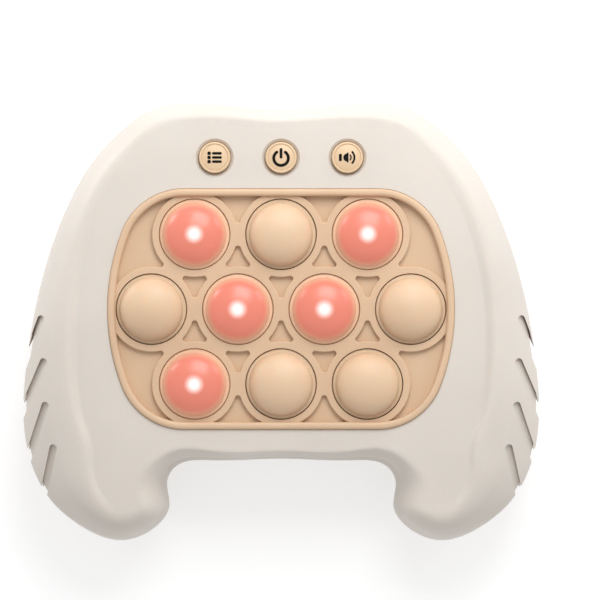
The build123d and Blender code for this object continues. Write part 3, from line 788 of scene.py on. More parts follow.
def lathe(profile: Profile, centre: tuple[float, float], segments: int = 96) -> bmesh.types.BMesh:
    """Turns a profile about an upright axis.

    Args:
        profile: Radius and height of each point, in millimetres. A radius of 0 is a pole.
        centre: The axis in plan, in millimetres.
        segments: Faces round the axis.

    Returns:
        The working mesh, in metres.
    """
    mesh = bmesh.new()
    rings = []
    for radius, height in profile:
        if radius < POLE:
            rings.append([mesh.verts.new((centre[0] * MM, centre[1] * MM, height * MM))])
            continue
        ring = []
        for step in range(segments):
            turn = 2 * math.pi * step / segments
            x = centre[0] + radius * math.cos(turn)
            y = centre[1] + radius * math.sin(turn)
            ring.append(mesh.verts.new((x * MM, y * MM, height * MM)))
        rings.append(ring)
    for first, second in zip(rings, rings[1:]):
        for step in range(segments):
            after = (step + 1) % segments
            if len(first) == 1 and len(second) == 1:
                break
            if len(first) == 1:
                mesh.faces.new((first[0], second[step], second[after]))
            elif len(second) == 1:
                mesh.faces.new((first[step], first[after], second[0]))
            else:
                mesh.faces.new((first[step], first[after], second[after], second[step]))
    return mesh


def lay_along_x(mesh: bmesh.types.BMesh, place: Place, way: int) -> None:
    """Turns an upright turned mesh to lie along X.

    Args:
        mesh: The working mesh, turned about Z at the origin.
        place: Where its origin goes, in millimetres.
        way: 1 if its upper end points to +X, or -1.
    """
    turn = Matrix.Rotation(math.radians(90 * way), 4, "Y")
    move = Matrix.Translation(Vector(place) * MM)
    bmesh.ops.transform(mesh, matrix=move @ turn, verts=mesh.verts)


def arc(centre: tuple[float, float], radius: float, start: float, end: float, steps: int) -> Profile:
    """Points along an arc.

    Args:
        centre: The arc's centre.
        radius: The arc's radius.
        start: First angle in degrees.
        end: Last angle in degrees.
        steps: Number of steps between them.

    Returns:
        The points, both ends included.
    """
    angles = [math.radians(start + (end - start) * i / steps) for i in range(steps + 1)]
    return [(centre[0] + radius * math.cos(a), centre[1] + radius * math.sin(a)) for a in angles]


def bow(radius: float, base: float, rise: float, start: float, end: float, steps: int) -> Profile:
    """Points along the half section of a low dome, which is part of an ellipse.

    Args:
        radius: Radius of the dome's foot.
        base: Height of its foot.
        rise: Height of its top above the foot.
        start: First angle in degrees, 0 at the foot and 90 at the top.
        end: Last angle in degrees.
        steps: Number of steps between them.

    Returns:
        The points, both ends included.
    """
    return [(radius * x, base + rise * y) for x, y in arc((0.0, 0.0), 1.0, start, end, steps)]


def add_prism(mesh: bmesh.types.BMesh, outline: Profile, low: float, high: float) -> None:
    """Adds an upright prism with a plain outline.

    Args:
        mesh: The working mesh.
        outline: The outline in plan, in millimetres.
        low: Height of its lower face.
        high: Height of its upper face.
    """
    levels = [[mesh.verts.new((x * MM, y * MM, z * MM)) for x, y in outline] for z in (low, high)]
    count = len(outline)
    mesh.faces.new(levels[0][::-1])
    mesh.faces.new(levels[1])
    for i in range(count):
        j = (i + 1) % count
        mesh.faces.new((levels[0][i], levels[0][j], levels[1][j], levels[1][i]))


def stroke(centre: tuple[float, float], radius: float, width: float, start: float, end: float) -> Profile:
    """Outline of a bent stroke with round ends.

    Args:
        centre: Centre of the bend.
        radius: Radius of the stroke's middle line.
        width: Width of the stroke.
        start: First angle in degrees.
        end: Last angle in degrees, above the first.

    Returns:
        The outline, in plan.
    """
    fewest, degrees_in_step, tip_steps = 8, 6, 6
    steps = max(fewest, int((end - start) / degrees_in_step))
    half = width / 2
    tips = []
    for angle, turn in ((end, end), (start, start - 180)):
        tip = arc(centre, radius, angle, angle, 1)[0]
        tips.append(arc(tip, half, turn, turn + 180, tip_steps)[1:-1])
    outer = arc(centre, radius + half, start, end, steps)
    inner = arc(centre, radius - half, end, start, steps)
    return outer + tips[0] + inner + tips[1]


def round_bar(x_low: float, x_high: float, y_low: float, y_high: float, corner: float) -> Profile:
    """Outline of a bar with round corners.

    Args:
        x_low: Left side.
        x_high: Right side.
        y_low: Lower side.
        y_high: Upper side.
        corner: Radius of the corners.

    Returns:
        The outline, in plan.
    """
    corners = (
        (x_high - corner, y_high - corner, 0),
        (x_low + corner, y_high - corner, 90),
        (x_low + corner, y_low + corner, 180),
        (x_high - corner, y_low + corner, 270),
    )
    steps = 5
    points: Profile = []
    for x, y, turn in corners:
        points += arc((x, y), corner, turn, turn + 90, steps)
    return points


@dataclass(frozen=True)
class RoundNode:
    """Place and size of a round upright CAD node, in millimetres."""

    middle: tuple[float, float]
    radius: float
    low: float
    high: float

    @classmethod
    def read(cls, node: str) -> RoundNode:
        """Reads a node's box.

        Args:
            node: The CAD node's name.

        Returns:
            Its place and size.
        """
        low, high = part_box(node)
        middle = ((low[0] + high[0]) / 2 / MM, (low[1] + high[1]) / 2 / MM)
        return cls(middle, (high[0] - low[0]) / 2 / MM, low[2] / MM, high[2] / MM)


# Geometry Nodes


class Layout(Enum):
    """How a pattern of equal pieces is laid out."""

    LINE = "line"
    PLACES = "places"


@dataclass
class Pattern:
    """Equal pieces laid out by a Geometry Nodes tree, then made one plain mesh."""

    layout: Layout
    count: int = 1
    start: Place = (0.0, 0.0, 0.0)
    step: Place = (0.0, 0.0, 0.0)
    places: list[Place] = field(default_factory=list)

    def tree(self) -> bpy.types.NodeTree:
        """The layout's node tree, built at its first use.

        Returns:
            The node tree.
        """
        name = f"Pattern {self.layout.value}"
        known = bpy.data.node_groups.get(name)
        if known:
            return known
        tree = bpy.data.node_groups.new(name, "GeometryNodeTree")
        kinds = {
            "Piece": "Geometry",
            "Count": "Int",
            "Start": "Vector",
            "Step": "Vector",
            "Places": "Object",
            "Material": "Material",
        }
        for socket, kind in kinds.items():
            tree.interface.new_socket(socket, in_out="INPUT", socket_type=f"NodeSocket{kind}")
        tree.interface.new_socket("Result", in_out="OUTPUT", socket_type="NodeSocketGeometry")
        graph = Graph(tree)
        given = graph.add("NodeGroupInput").outputs
        end = graph.add("NodeGroupOutput")
        spread = graph.add("GeometryNodeInstanceOnPoints")
        graph.feed(spread.inputs["Instance"], given["Piece"])
        if self.layout is Layout.LINE:
            line = graph.add("GeometryNodeMeshLine", mode="OFFSET")
            graph.feed(line.inputs["Count"], given["Count"])
            graph.feed(line.inputs["Start Location"], given["Start"])
            graph.feed(line.inputs["Offset"], given["Step"])
            graph.feed(spread.inputs["Points"], line.outputs[0])
        else:
            source = graph.add("GeometryNodeObjectInfo")
            graph.feed(source.inputs["Object"], given["Places"])
            graph.feed(spread.inputs["Points"], source.outputs["Geometry"])
        whole = graph.add("GeometryNodeRealizeInstances")
        graph.feed(whole.inputs[0], spread.outputs[0])
        dressed = graph.add("GeometryNodeSetMaterial")
        graph.feed(dressed.inputs["Geometry"], whole.outputs[0])
        graph.feed(dressed.inputs["Material"], given["Material"])
        graph.feed(end.inputs[0], dressed.outputs[0])
        return tree

    def spread(self, piece: bpy.types.Object, finish: Finish) -> bpy.types.Object:
        """Lays the piece out and makes the result one plain mesh.

        Args:
            piece: The single piece, built round the origin. It is used up.
            finish: The finish of the result.

        Returns:
            The piece's object with the whole pattern as its mesh.
        """
        tree = self.tree()
        modifier = piece.modifiers.new("pattern", "NODES")
        modifier.node_group = tree
        values: dict[str, object] = {
            "Count": self.count,
            "Start": [v * MM for v in self.start],
            "Step": [v * MM for v in self.step],
            "Material": finish.material(),
        }
        marks = None
        if self.places:
            data = bpy.data.meshes.new("places")
            data.from_pydata([[v * MM for v in place] for place in self.places], [], [])
            marks = bpy.data.objects.new("places", data)
            bpy.context.scene.collection.objects.link(marks)
            values["Places"] = marks
        for socket in tree.interface.items_tree:
            if socket.in_out == "INPUT" and socket.name in values:
                modifier[socket.identifier] = values[socket.name]
        piece.update_tag()
        bpy.context.view_layer.update()
        found = bpy.context.evaluated_depsgraph_get()
        result = bpy.data.meshes.new_from_object(piece.evaluated_get(found), depsgraph=found)
        piece.modifiers.remove(modifier)
        piece.data = result
        if marks:
            bpy.data.objects.remove(marks)
        return piece


# Parts of the game and its stage


@dataclass
class Dressing:
    """Finishes of the CAD nodes that keep their own meshes."""

    nodes: dict[str, Finish]

    def build(self, frame: dict) -> None:
        """Gives each node its material.
        """
        for name, finish in self.nodes.items():
            item = frame["nodes"][name]
            item.data.materials.clear()
            item.data.materials.append(finish.material())
            LOG.info("dressed %s in %s", name, finish.name)


class Lamp(Enum):
    """Whether the lamp under a dome is on."""

    OFF = "off"
    ON = "on"


@dataclass
class BubbleField:
    """The ten silicone domes, each turned from one profile."""

    lit: tuple[str, ...] = ("a1", "a3", "b2", "b3", "c1")
    smooth: float = 50.0
    names: tuple[str, ...] = ("a1", "a2", "a3", "b1", "b2", "b3", "b4", "c1", "c2", "c3")
    foot_step: float = 1.1
    upstand: float = 0.9
    height: float = 5.2
    wall: float = 1.3
    skirt_wall: float = 1.5
    edge_round: float = 0.4
    root_round: float = 0.35
    lip: float = 0.15
    lip_land: float = 0.3
    lip_below_shoulder: float = 0.8
    inner_chamfer: float = 0.3
    outer_steps: int = 26
    inner_steps: int = 24

    def profile(self, size: RoundNode) -> Profile:
        """Half section of a dome, from the top's outside round to its inside.

        Args:
            size: Radius of the skirt, height of its lower end and of the top.

        Returns:
            The half section.
        """
        radius, low, top = size.radius, size.low, size.high
        spring = top - self.height
        shoulder = spring - self.upstand
        dome = radius - self.foot_step
        edge, root = self.edge_round, self.root_round
        outer = [(0.0, top), *bow(dome, spring, self.height, 90, 0, self.outer_steps)[1:]]
        outer += arc((dome + root, shoulder + root), root, 180, 270, 6)
        outer += arc((radius - edge, shoulder - edge), edge, 90, 0, 6)
        lip_top = shoulder - self.lip_below_shoulder
        outer += [(radius, lip_top), (radius + self.lip, lip_top - self.lip)]
        lip_low = lip_top - self.lip - self.lip_land
        outer += [(radius + self.lip, lip_low), (radius, lip_low - self.lip)]
        outer += arc((radius - edge, low + edge), edge, 0, -90, 4)
        inner_radius = radius - self.skirt_wall
        inner_dome = dome - self.wall
        inner_low = shoulder - self.wall
        inner_spring = spring - self.wall
        inner = [(inner_radius, low), (inner_radius, inner_low - self.inner_chamfer)]
        inner.append((inner_radius - self.inner_chamfer, inner_low))
        inner += bow(inner_dome, inner_spring, self.height, 0, 90, self.inner_steps)[:-1]
        inner.append((0.0, inner_spring + self.height))
        return outer + inner

    def build(self) -> None:
        """Builds every dome in place of its CAD node."""
        for name in self.names:
            node = f"bubble_{name}"
            size = RoundNode.read(node)
            lamp = Lamp.ON if name in self.lit else Lamp.OFF
            mesh = lathe(self.profile(size), size.middle)
            piece = new_piece(f"dome_{name}", mesh, self.finish(name, lamp, size.middle), self.smooth)
            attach(piece, node)
            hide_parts(node)
            LOG.info("built dome %s with its lamp %s", name, lamp.value)

    def finish(self, name: str, lamp: Lamp, centre: tuple[float, float]) -> Finish:
        """Finish of one dome.

        Args:
            name: The dome's name.
            lamp: Whether its lamp is on.
            centre: Its middle in plan, in millimetres.

        Returns:
            The finish.
        """
        if lamp is Lamp.OFF:
            return DOME
        return LitSilicone(
            f"lit silicone {name}",
            DOME.colour,
            cloud=DOME.cloud,
            spread=DOME.spread,
            grain=DOME.grain,
            depth=DOME.depth,
            dust=DOME.dust,
            centre=(centre[0] * MM, centre[1] * MM),
        )


class Sign(Enum):
    """Plain function sign on a key."""

    MENU = "menu"
    POWER = "power"
    SOUND = "sound"

    def strokes(self) -> list[Profile]:
        """Outlines of the sign's strokes round the key's middle, in millimetres.

        Returns:
            The outlines.
        """
        if self is Sign.MENU:
            return self.list_strokes()
        if self is Sign.POWER:
            return self.power_strokes()
        return self.sound_strokes()

    @staticmethod
    def list_strokes() -> list[Profile]:
        """Three rows of a dot and a line.

        Returns:
            The outlines.
        """
        pitch, half_dot, half_line = 1.24, 0.5, 0.36
        dot_left, dot_right, dot_corner = -2.15, -1.13, 0.34
        line_left, line_right, line_corner = -0.76, 2.15, 0.33
        rows = []
        for y in (pitch, 0.0, -pitch):
            rows.append(round_bar(dot_left, dot_right, y - half_dot, y + half_dot, dot_corner))
            rows.append(round_bar(line_left, line_right, y - half_line, y + half_line, line_corner))
        return rows

    @staticmethod
    def power_strokes() -> list[Profile]:
        """A ring with a gap at its top, and a bar in the gap.

        Returns:
            The outlines.
        """
        middle, radius, width = (0.0, -0.2), 2.18, 0.86
        gap_left, gap_right = 125, 415
        half_bar, bar_low, bar_high, bar_corner = 0.42, -0.3, 2.78, 0.38
        ring = stroke(middle, radius, width, gap_left, gap_right)
        return [ring, round_bar(-half_bar, half_bar, bar_low, bar_high, bar_corner)]

    @staticmethod
    def sound_strokes() -> list[Profile]:
        """A speaker's magnet and cone, and two bent waves.

        Returns:
            The outlines.
        """
        reach, back, front, lean = 1.45, -0.15, 0.3, 42
        magnet = round_bar(-2.55, -1.7, -1.05, 1.05, 0.2)
        dish = arc((-0.05, 0.0), 1.2, 100, 260, 10)
        cone = [(back, reach), *dish, (back, -reach), (front, -reach), (front, reach)]
        small = stroke((0.0, 0.0), 1.05, 0.42, -lean, lean)
        large = stroke((-0.35, 0.0), 2.42, 0.56, -lean, lean)
        return [magnet, cone, small, large]


@dataclass
class TopKeys:
    """The three round keys and the signs on them."""

    flange_step: float = 1.0
    bead: float = 0.12
    ring_width: float = 0.72
    groove: float = 0.14
    groove_half_width: float = 0.04
    groove_side: float = 0.1
    cup_edge: float = 0.16
    cup_dip: float = 0.03
    ring_foot: float = 0.08
    ring_edge: float = 0.18
    ring_dip: float = 0.01
    edge_round: float = 0.42
    lip: float = 0.15
    lip_land: float = 0.2
    lip_below_top: float = 2.2
    flange_thickness: float = 1.0
    flange_round: float = 0.15
    stem_radius: float = 2.6
    stem_length: float = 1.2
    stem_chamfer: float = 0.2
    sign_height: float = 0.09
    sign_sink: float = 0.05
    segments: int = 80

    def profile(self, size: RoundNode) -> Profile:
        """Half section of a key, from the middle of its top to its stem.

        Args:
            size: Radius of the flange, height of the stem's end and of the key's top.

        Returns:
            The half section.
        """
        low, top = size.low, size.high
        flange_low = low + self.stem_length
        flange_top = flange_low + self.flange_thickness
        edge = self.edge_round
        cap = size.radius - self.flange_step
        flat = cap - self.ring_width
        face = top - self.bead
        half, side, floor = self.groove_half_width, self.groove_side, face - self.groove
        points: Profile = [(0.0, face), (flat - self.cup_edge, face), (flat - side, face - self.cup_dip)]
        points += [(flat - half, floor), (flat + half, floor)]
        points += [(flat + side, top - self.ring_foot), (flat + self.ring_edge, top - self.ring_dip)]
        points += arc((cap - edge, top - edge), edge, 90, 0, 8)
        lip_top = top - self.lip_below_top
        lip_low = lip_top - self.lip - self.lip_land
        points += [(cap, lip_top), (cap + self.lip, lip_top - self.lip)]
        points += [(cap + self.lip, lip_low), (cap, lip_low - self.lip)]
        turn, rim = self.flange_round, size.radius - self.flange_round
        points += arc((cap + turn, flange_top + turn), turn, 180, 270, 4)
        points += arc((rim, flange_top - turn), turn, 90, 0, 4)
        points += arc((rim, flange_low + turn), turn, 0, -90, 4)
        stem, chamfer = self.stem_radius, self.stem_chamfer
        points += [(stem, flange_low), (stem, low + chamfer), (stem - chamfer, low), (0.0, low)]
        return points

    def build(self) -> None:
        """Builds the keys in place of their CAD nodes, and their signs."""
        for sign in Sign:
            node = f"{sign.value}_key"
            size = RoundNode.read(node)
            x, y = size.middle
            mesh = lathe(self.profile(size), size.middle, self.segments)
            key = new_piece(f"{sign.value}_key_cap", mesh, KEY_PEACH)
            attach(key, node)
            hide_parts(node)
            mark = bmesh.new()
            face = size.high - self.bead
            for outline in sign.strokes():
                moved = [(x + px, y + py) for px, py in outline]
                add_prism(mark, moved, face - self.sign_sink, face + self.sign_height)
            drawn = new_piece(f"{sign.value}_sign", mark, SIGN_INK, smooth=30)
            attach(drawn, node)
            LOG.info("built key %s with its sign", sign.value)


@dataclass
class Screws:
    """Self-tapping screws with a cross recess, laid out by a pattern.

    The crown and the floor of the recess are shares of the head's height, the
    arms of the recess are shares of the head's radius, the thread's root and
    the tip's length are shares of the shank's radius, and the tip is a share
    of the radius above it.
    """

    node: str
    body: str
    places: list[Place]
    head: float
    head_height: float
    shank: float
    length: float
    pitch: float = 0.9
    crown: float = 0.55
    rim: float = 0.12
    arm: float = 0.62
    half_arm_width: float = 0.13
    recess_floor: float = 0.45
    cut_clear: float = 0.5
    root: float = 0.72
    crest_reach: float = 0.3
    tip_length: float = 1.6
    tip: float = 0.25
    head_steps: int = 8
    head_segments: int = 40
    thread_segments: int = 20
    levels_in_pitch: int = 6

    def single(self) -> bpy.types.Object:
        """One screw at the origin, head below and thread above.

        Returns:
            The screw's object.
        """
        head, high = self.head, self.head_height
        rise = high * self.crown
        profile = [(0.0, -high), *bow(head, rise - high, -rise, 90, 0, self.head_steps)[1:]]
        profile += [(head, -self.rim), (head - self.rim, 0.0), (self.shank, 0.0)]
        mesh = lathe(profile, (0.0, 0.0), self.head_segments)
        self.add_thread(mesh)
        screw = new_piece(f"{self.node}_piece", mesh, SCREW_STEEL)
        cross = bmesh.new()
        arm, thin = head * self.arm, head * self.half_arm_width
        for across, along in ((arm, thin), (thin, arm)):
            outline = [(-across, -along), (across, -along), (across, along), (-across, along)]
            add_prism(cross, outline, -high - self.cut_clear, -high * self.recess_floor)
        cutter = new_piece("recess", cross, SCREW_STEEL)
        cut = screw.modifiers.new("recess", "BOOLEAN")
        cut.object = cutter
        cut.operation = "DIFFERENCE"
        cut.solver = "EXACT"
        cut.use_self = True
        bpy.context.view_layer.update()
        found = bpy.context.evaluated_depsgraph_get()
        screw.data = bpy.data.meshes.new_from_object(screw.evaluated_get(found), depsgraph=found)
        screw.modifiers.clear()
        bpy.data.objects.remove(cutter)
        return screw

    def add_thread(self, mesh: bmesh.types.BMesh) -> None:
        """Adds the threaded shank, closed at its tip.

        Args:
            mesh: The working mesh.
        """
        around = self.thread_segments
        root = self.shank * self.root
        levels = int(self.length / self.pitch * self.levels_in_pitch)
        rings = []
        for level in range(levels + 1):
            z = self.length * level / levels
            ring = []
            for step in range(around):
                turn = 2 * math.pi * step / around
                phase = (z / self.pitch - step / around) % 1.0
                crest = max(0.0, 1 - abs(phase - 0.5) / self.crest_reach)
                taper = min(1.0, (self.length - z) / (self.shank * self.tip_length))
                radius = (root + (self.shank - root) * crest) * (self.tip + (1 - self.tip) * taper) * MM
                ring.append(mesh.verts.new((radius * math.cos(turn), radius * math.sin(turn), z * MM)))
            rings.append(ring)
        for lower, upper in zip(rings, rings[1:]):
            for step in range(around):
                after = (step + 1) % around
                mesh.faces.new((lower[step], lower[after], upper[after], upper[step]))
        mesh.faces.new(rings[0][::-1])
        mesh.faces.new(rings[-1])

    def build(self) -> None:
        """Builds the screws in place of their CAD node."""
        screw = self.single()
        result = Pattern(Layout.PLACES, places=self.places).spread(screw, SCREW_STEEL)
        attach(result, self.body)
        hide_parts(self.node)
        LOG.info("built %s at %d places", self.node, len(self.places))


@dataclass
class CoverGrip:
    """Ribs on the battery cover where a thumb pushes it."""

    count: int = 6
    length: float = 12.0
    width: float = 0.7
    height: float = 0.15
    pitch: float = 1.5
    from_top: float = 10.5
    corner: float = 0.9
    sink: float = 0.05

    def build(self) -> None:
        """Builds the ribs on the cover's outer face."""
        low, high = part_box("battery_cover")
        mesh = bmesh.new()
        half, thick = self.length / 2, self.width / 2
        plan = round_bar(-half, half, -thick, thick, thick * self.corner)
        add_prism(mesh, plan, -self.height, self.sink)
        rib = new_piece("cover_grip", mesh, SHELL)
        first = high[1] / MM - self.from_top - self.pitch * (self.count - 1)
        pattern = Pattern(
            Layout.LINE,
            count=self.count,
            start=(0.0, first, low[2] / MM),
            step=(0.0, self.pitch, 0.0),
        )
        result = pattern.spread(rib, SHELL)
        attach(result, "battery_cover")
        LOG.info("built %d grip ribs on the cover", self.count)


@dataclass
class RimSeal:
    """Thin bead that closes the joint between the frame's rim and the shell."""

    middle_y: float = 4.1
    half_width: float = 51.75
    half_height: float = 35.9
    side_radius: float = 65.0
    corner_radius: float = 20.0
    joint: float = 0.15
    clearance: float = 0.01
    low: float = 35.2
    high: float = 35.8
    steps: int = 20

    def outline(self, grow: float) -> Profile:
        """Outline of the rim, grown evenly.

        Args:
            grow: How far it is grown.

        Returns:
            The outline: flat top and bottom, bowed sides.
        """
        side, corner = self.side_radius + grow, self.corner_radius + grow
        side_x = self.half_width + grow - side
        corner_y = self.half_height + grow - corner
        corner_x = side_x + math.sqrt((side - corner) ** 2 - corner_y**2)
        lean = math.degrees(math.atan2(corner_y, corner_x - side_x))
        quarter = arc((corner_x, corner_y), corner, 90, lean, self.steps)
        quarter += arc((side_x, 0.0), side, lean, 0, self.steps)[1:]
        right = quarter + [(x, -y) for x, y in quarter[-2::-1]]
        whole = right + [(-x, y) for x, y in reversed(right)]
        return [(x, y + self.middle_y) for x, y in whole]

    def build(self) -> None:
        """Builds the bead round the whole rim."""
        mesh = bmesh.new()
        inner, outer = self.clearance, self.joint - self.clearance
        corners = ((inner, self.low), (outer, self.low), (outer, self.high), (inner, self.high))
        rings = []
        for grow, height in corners:
            plan = self.outline(grow)
            rings.append([mesh.verts.new((x * MM, y * MM, height * MM)) for x, y in plan])
        count = len(rings[0])
        for first, second in zip(rings, rings[1:] + rings[:1]):
            for i in range(count):
                j = (i + 1) % count
                mesh.faces.new((first[i], first[j], second[j], second[i]))
        bead = new_piece("rim_seal", mesh, PEACH)
        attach(bead, "casing")
        LOG.info("built the rim's seal")


@dataclass
class ContactRings:
    """Carbon rings under the domes, with rounded edges."""

    names: tuple[str, ...] = BubbleField.names
    wall: float = 1.5
    edge_round: float = 0.12
    segments: int = 64

    def build(self) -> None:
        """Builds each ring in place of its CAD node."""
        for name in self.names:
            node = f"contact_ring_{name}"
            size = RoundNode.read(node)
            outer, bottom, top = size.radius, size.low, size.high
            inner, edge = outer - self.wall, self.edge_round
            profile = [
                *arc((outer - edge, top - edge), edge, 90, 0, 3),
                *arc((outer - edge, bottom + edge), edge, 0, -90, 3),
                *arc((inner + edge, bottom + edge), edge, 270, 180, 3),
                *arc((inner + edge, top - edge), edge, 180, 90, 3),
            ]
            mesh = lathe([*profile, profile[0]], size.middle, self.segments)
            piece = new_piece(f"carbon_ring_{name}", mesh, CARBON)
            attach(piece, f"bubble_{name}")
            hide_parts(node)
        LOG.info("built %d carbon rings", len(self.names))


@dataclass
class SiliconeMat:
    """Silicone sheet with its webs, and the keys' plungers."""

    edge_round: float = 0.1
    flat_angle: float = 1.0
    sharp_angle: float = 50.0
    plunger_round: float = 0.2
    pill: float = 0.6
    pill_radius: float = 1.8
    pill_round: float = 0.12
    dimple: float = 0.25
    dimple_edge: float = 0.6
    dimple_bend: float = 0.4
    bend_depth: float = 0.6
    segments: int = 48

    def build(self, frame: dict) -> None:
        """Builds the sheet and the plungers in place of their CAD nodes.
        """
        mesh = bmesh.new()
        mesh.from_mesh(frame["nodes"]["silicone_mat"].data)
        bmesh.ops.remove_doubles(mesh, verts=mesh.verts, dist=1e-6)
        flat, limit = math.radians(self.flat_angle), math.radians(self.sharp_angle)
        bmesh.ops.dissolve_limit(mesh, angle_limit=flat, verts=mesh.verts, edges=mesh.edges)
        paired = [edge for edge in mesh.edges if len(edge.link_faces) == 2]
        sharp = [edge for edge in paired if edge.calc_face_angle(0.0) > limit]
        bmesh.ops.bevel(
            mesh,
            geom=sharp,
            offset=self.edge_round * MM,
            segments=2,
            profile=0.5,
            affect="EDGES",
            clamp_overlap=True,
        )
        bmesh.ops.triangulate(mesh, faces=mesh.faces)
        sheet = new_piece("silicone_sheet", mesh, SHEET_SILICONE)
        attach(sheet, "casing")
        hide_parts("silicone_mat")
        for sign in Sign:
            self.plunger(sign)
        LOG.info("built the silicone sheet and its plungers")

    def plunger(self, sign: Sign) -> None:
        """Builds one key's plunger, with a shallow dimple in its pill.

        Args:
            sign: The key's sign.
        """
        node = f"{sign.value}_plunger"
        size = RoundNode.read(node)
        radius, bottom, top = size.radius, size.low, size.high
        step = bottom + self.pill
        turn, pill, edge = self.plunger_round, self.pill_radius, self.pill_round
        body = [
            (0.0, top),
            *arc((radius - turn, top - turn), turn, 90, 0, 4),
            *arc((radius - turn, step + turn), turn, 0, -90, 4),
            (pill, step),
            *arc((pill - edge, bottom + edge), edge, 0, -90, 3),
            (pill * self.dimple_edge, bottom),
            (pill * self.dimple_bend, bottom + self.dimple * self.bend_depth),
            (0.0, bottom + self.dimple),
        ]
        mesh = lathe(body, size.middle, self.segments)
        piece = new_piece(f"{sign.value}_plunger_body", mesh, SHEET_SILICONE)
        piece.data.materials.append(CARBON.material())
        for face in piece.data.polygons:
            face.material_index = 1 if face.center[2] < step * MM - 1e-6 else 0
        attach(piece, f"{sign.value}_key")
        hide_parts(node)


@dataclass
class Cells:
    """Three plain sleeved cells, every other one turned round."""

    radius: float = 5.25
    tip_radius: float = 1.9
    tip: float = 0.9
    length: float = 43.6
    band: float = 11.0
    tip_round: float = 0.25
    tip_root: float = 0.15
    top_round: float = 0.45
    bottom_round: float = 0.4
    sunk: float = 0.05
    groove: float = 0.35
    groove_in: float = 1.0
    groove_at: float = 0.8
    groove_out: float = 0.6
    band_seam: float = 0.02
    foot: float = 1.1
    foot_in: float = 1.3
    bottom_sunk: float = 0.25
    end_rim: float = 0.5
    count: int = 3
    segments: int = 64
    smooth: float = 35.0

    def profile(self) -> Profile:
        """Half section of a cell, from its positive end to its negative end.

        Returns:
            The half section, with the body's middle at height 0.
        """
        half, wide, tip = self.length / 2, self.radius, self.tip_radius
        end, turn = half + self.tip, self.tip_round
        upper, lower = self.top_round, self.bottom_round
        plate, base = half - self.sunk, self.bottom_sunk - half
        return [
            (0.0, end),
            *arc((tip - turn, end - turn), turn, 90, 0, 4),
            (tip, half + self.tip_root),
            (tip + turn, plate),
            (wide - self.groove_in, plate),
            (wide - self.groove_at, half - self.groove),
            (wide - self.groove_out, plate),
            *arc((wide - upper, half - upper), upper, 90, 0, 5),
            (wide, half - self.band),
            (wide, half - self.band - self.band_seam),
            *arc((wide - lower, lower - half), lower, 0, -90, 5),
            (wide - self.foot, -half),
            (wide - self.foot_in, base),
            (0.0, base),
        ]

    def build(self) -> None:
        """Builds the cells in place of their CAD node."""
        low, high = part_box("battery_cells")
        pitch = (high[1] - low[1] - 2 * self.radius * MM) / (self.count - 1) / MM
        z = (low[2] + high[2]) / 2 / MM
        first = low[1] / MM + self.radius
        whole = bmesh.new()
        for row in range(self.count):
            way = 1 if row % 2 == 0 else -1
            one = lathe(self.profile(), (0.0, 0.0), self.segments)
            end = high[0] / MM - self.tip - self.length / 2
            lay_along_x(one, (way * end, first + row * pitch, z), way)
            data = bpy.data.meshes.new("cell")
            one.to_mesh(data)
            one.free()
            whole.from_mesh(data)
            bpy.data.meshes.remove(data)
        piece = new_piece("plain_cells", whole, CELL_SLEEVE, self.smooth)
        piece.data.materials.append(NICKEL.material())
        piece.data.materials.append(CELL_BAND.material())
        for face in piece.data.polygons:
            row = min(self.count - 1, max(0, round((face.center[1] / MM - first) / pitch)))
            way = 1 if row % 2 == 0 else -1
            end = high[0] / MM - self.tip
            away = math.hypot(face.center[1] / MM - first - row * pitch, face.center[2] / MM - z)
            along = end - way * face.center[0] / MM
            if away < self.radius - self.end_rim:
                face.material_index = 1
            elif along < self.band:
                face.material_index = 2
        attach(piece, "casing")
        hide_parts("battery_cells")
        LOG.info("built %d cells", self.count)


